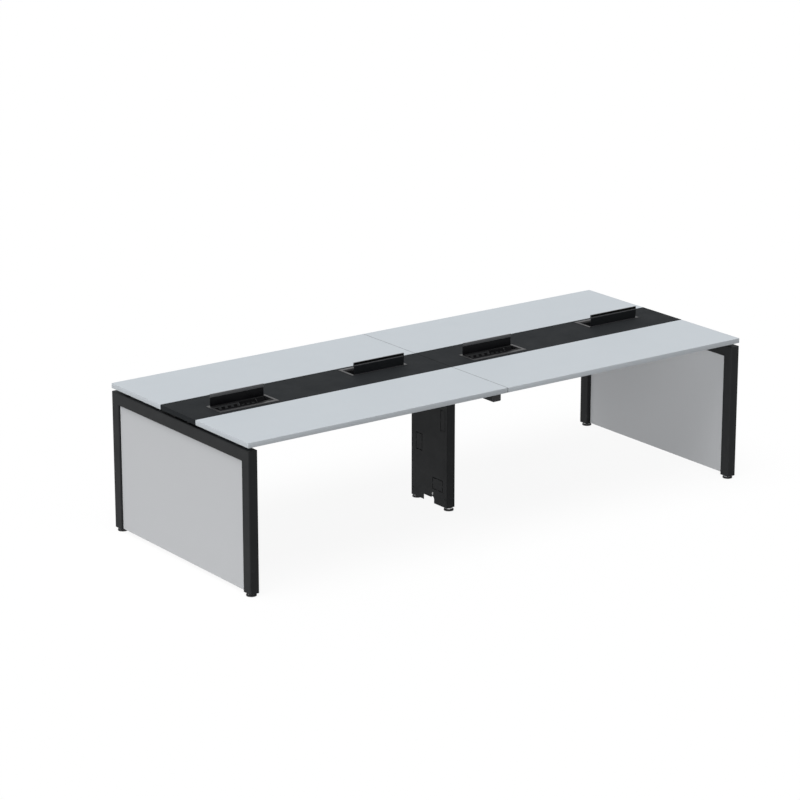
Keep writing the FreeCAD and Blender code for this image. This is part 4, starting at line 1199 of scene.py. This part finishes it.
class BENCHDESK_OT_studio(Operator):
    """Set out the floor, the light and the camera"""
    bl_idname = "bench_desk.studio"
    bl_label = "Set out the studio"

    def execute(self, context):
        levels = context.scene.bench_desk_studio
        self.lay_floor(context, levels)
        self.light_room(context, levels)
        self.hang_lamp(context, "overhead_softbox", levels.overhead, spread=50.0,
                       way=(-0.25, -0.10, 0.95))
        self.hang_lamp(context, "side_softbox", levels.side, spread=34.0,
                       way=(-0.900, -0.345, -0.260))
        self.aim_camera(context, levels)
        context.scene.view_settings.view_transform = "Standard"
        return {"FINISHED"}

    def where_seen(self, tree, lighting, shown):
        """One shader for the light that falls on the desk, and another for what the camera sees."""
        path = add_node(tree, "ShaderNodeLightPath").outputs
        shiny = calc(tree, "MAXIMUM", path["Is Camera Ray"], path["Is Glossy Ray"])
        seen = calc(tree, "MAXIMUM", shiny, path["Is Transmission Ray"])
        return out_of(tree, "ShaderNodeMixShader", inputs={0: seen, 1: lighting, 2: shown})

    def lay_floor(self, context, levels):
        """A white floor that shows only a faint shadow, and gives back a part of the light."""
        reach = 60.0
        mesh = bpy.data.meshes.new("studio_floor")
        mesh.from_pydata([(-reach, -reach, 0.0), (reach, -reach, 0.0), (reach, reach, 0.0),
                          (-reach, reach, 0.0)], [], [(0, 1, 2, 3)])
        floor = bpy.data.objects.new("studio_floor", mesh)
        context.scene.collection.objects.link(floor)
        finish = bpy.data.materials.new("studio_white")
        finish.use_nodes = True
        tree = finish.node_tree
        tree.nodes.clear()
        tone = levels.floor_tone
        dull = out_of(tree, "ShaderNodeBsdfDiffuse", inputs={"Color": (tone, tone, tone, 1.0)})
        pale = out_of(tree, "ShaderNodeBsdfDiffuse", inputs={"Color": (0.9, 0.9, 0.9, 1.0)})
        pale_in_light = 0.8
        glow = (1.0 - pale_in_light * levels.shadow) / (1.0 - levels.shadow)
        white = out_of(tree, "ShaderNodeEmission", inputs={"Color": WHITE, "Strength": glow})
        shown = out_of(tree, "ShaderNodeMixShader", inputs={0: levels.shadow, 1: white, 2: pale})
        surface = self.where_seen(tree, dull, shown)
        add_node(tree, "ShaderNodeOutputMaterial", inputs={"Surface": surface})
        mesh.materials.append(finish)
        floor.visible_shadow = False

    def light_room(self, context, levels):
        """Even light from all round, and a white background."""
        room = bpy.data.worlds.new("studio_room")
        context.scene.world = room
        room.use_nodes = True
        tree = room.node_tree
        tree.nodes.clear()
        daylight = (0.97, 0.985, 1.0, 1.0)
        even = out_of(tree, "ShaderNodeBackground", inputs={"Color": daylight, "Strength": levels.room})
        white = out_of(tree, "ShaderNodeBackground", inputs={"Color": WHITE, "Strength": 1.0})
        surface = self.where_seen(tree, even, white)
        add_node(tree, "ShaderNodeOutputWorld", inputs={"Surface": surface})

    def hang_lamp(self, context, name, strength, spread, way):
        """A broad soft light that falls evenly on the whole desk from one side."""
        lamp = bpy.data.lights.new(name, "SUN")
        lamp.energy = strength
        lamp.angle = math.radians(spread)
        hung = bpy.data.objects.new(name, lamp)
        context.scene.collection.objects.link(hung)
        away = 6.0
        hung.location = Vector(way) * away
        hung.rotation_euler = Vector(way).to_track_quat("Z", "Y").to_euler()

    def aim_camera(self, context, levels):
        """The camera at the viewing angle of the photograph."""
        lens = bpy.data.cameras.new("photo_camera")
        lens.sensor_width = 36.0
        lens.lens = levels.lens
        lens.clip_end = 200.0
        camera = bpy.data.objects.new("photo_camera", lens)
        context.scene.collection.objects.link(camera)
        view = Vector((0.5656, 0.7723, -0.2891))
        camera.location = (-8.845, -11.797, 4.995)
        camera.rotation_euler = view.to_track_quat("-Z", "Y").to_euler()
        context.scene.camera = camera


class BENCHDESK_PT_desk(Panel):
    """Pieces and studio of the bench desk"""
    bl_label = "Bench desk"
    bl_idname = "BENCHDESK_PT_desk"
    bl_space_type = "VIEW_3D"
    bl_region_type = "UI"
    bl_category = "Bench desk"

    def draw(self, context):
        for step in STEPS:
            self.layout.operator(step.bl_idname)
        for group in GROUPS:
            box = self.layout.box()
            values = getattr(context.scene, group)
            for name in values.__annotations__:
                box.prop(values, name)


GROUPS = {
    "bench_desk_colours": DeskColours,
    "bench_desk_flap": FlapSizes,
    "bench_desk_fittings": FittingSizes,
    "bench_desk_studio": StudioLevels,
}
STEPS = (
    BENCHDESK_OT_boards,
    BENCHDESK_OT_edge_bands,
    BENCHDESK_OT_frame,
    BENCHDESK_OT_fasteners,
    BENCHDESK_OT_rings,
    BENCHDESK_OT_bezels,
    BENCHDESK_OT_lids,
    BENCHDESK_OT_brushes,
    BENCHDESK_OT_sockets,
    BENCHDESK_OT_studio,
)


def register():
    for group in GROUPS.values():
        bpy.utils.register_class(group)
    for step in STEPS:
        bpy.utils.register_class(step)
    bpy.utils.register_class(BENCHDESK_PT_desk)
    for name, group in GROUPS.items():
        setattr(bpy.types.Scene, name, PointerProperty(type=group))


def unregister():
    for name in GROUPS:
        delattr(bpy.types.Scene, name)
    bpy.utils.unregister_class(BENCHDESK_PT_desk)
    for step in reversed(STEPS):
        bpy.utils.unregister_class(step)
    for group in GROUPS.values():
        bpy.utils.unregister_class(group)


def main():
    register()
    bpy.ops.bench_desk.boards()
    bpy.ops.bench_desk.edge_bands()
    bpy.ops.bench_desk.frame()
    bpy.ops.bench_desk.fasteners()
    bpy.ops.bench_desk.rings()
    bpy.ops.bench_desk.bezels()
    bpy.ops.bench_desk.lids()
    bpy.ops.bench_desk.brushes()
    bpy.ops.bench_desk.sockets()
    bpy.ops.bench_desk.studio()


if __name__ == "__main__":
    main()
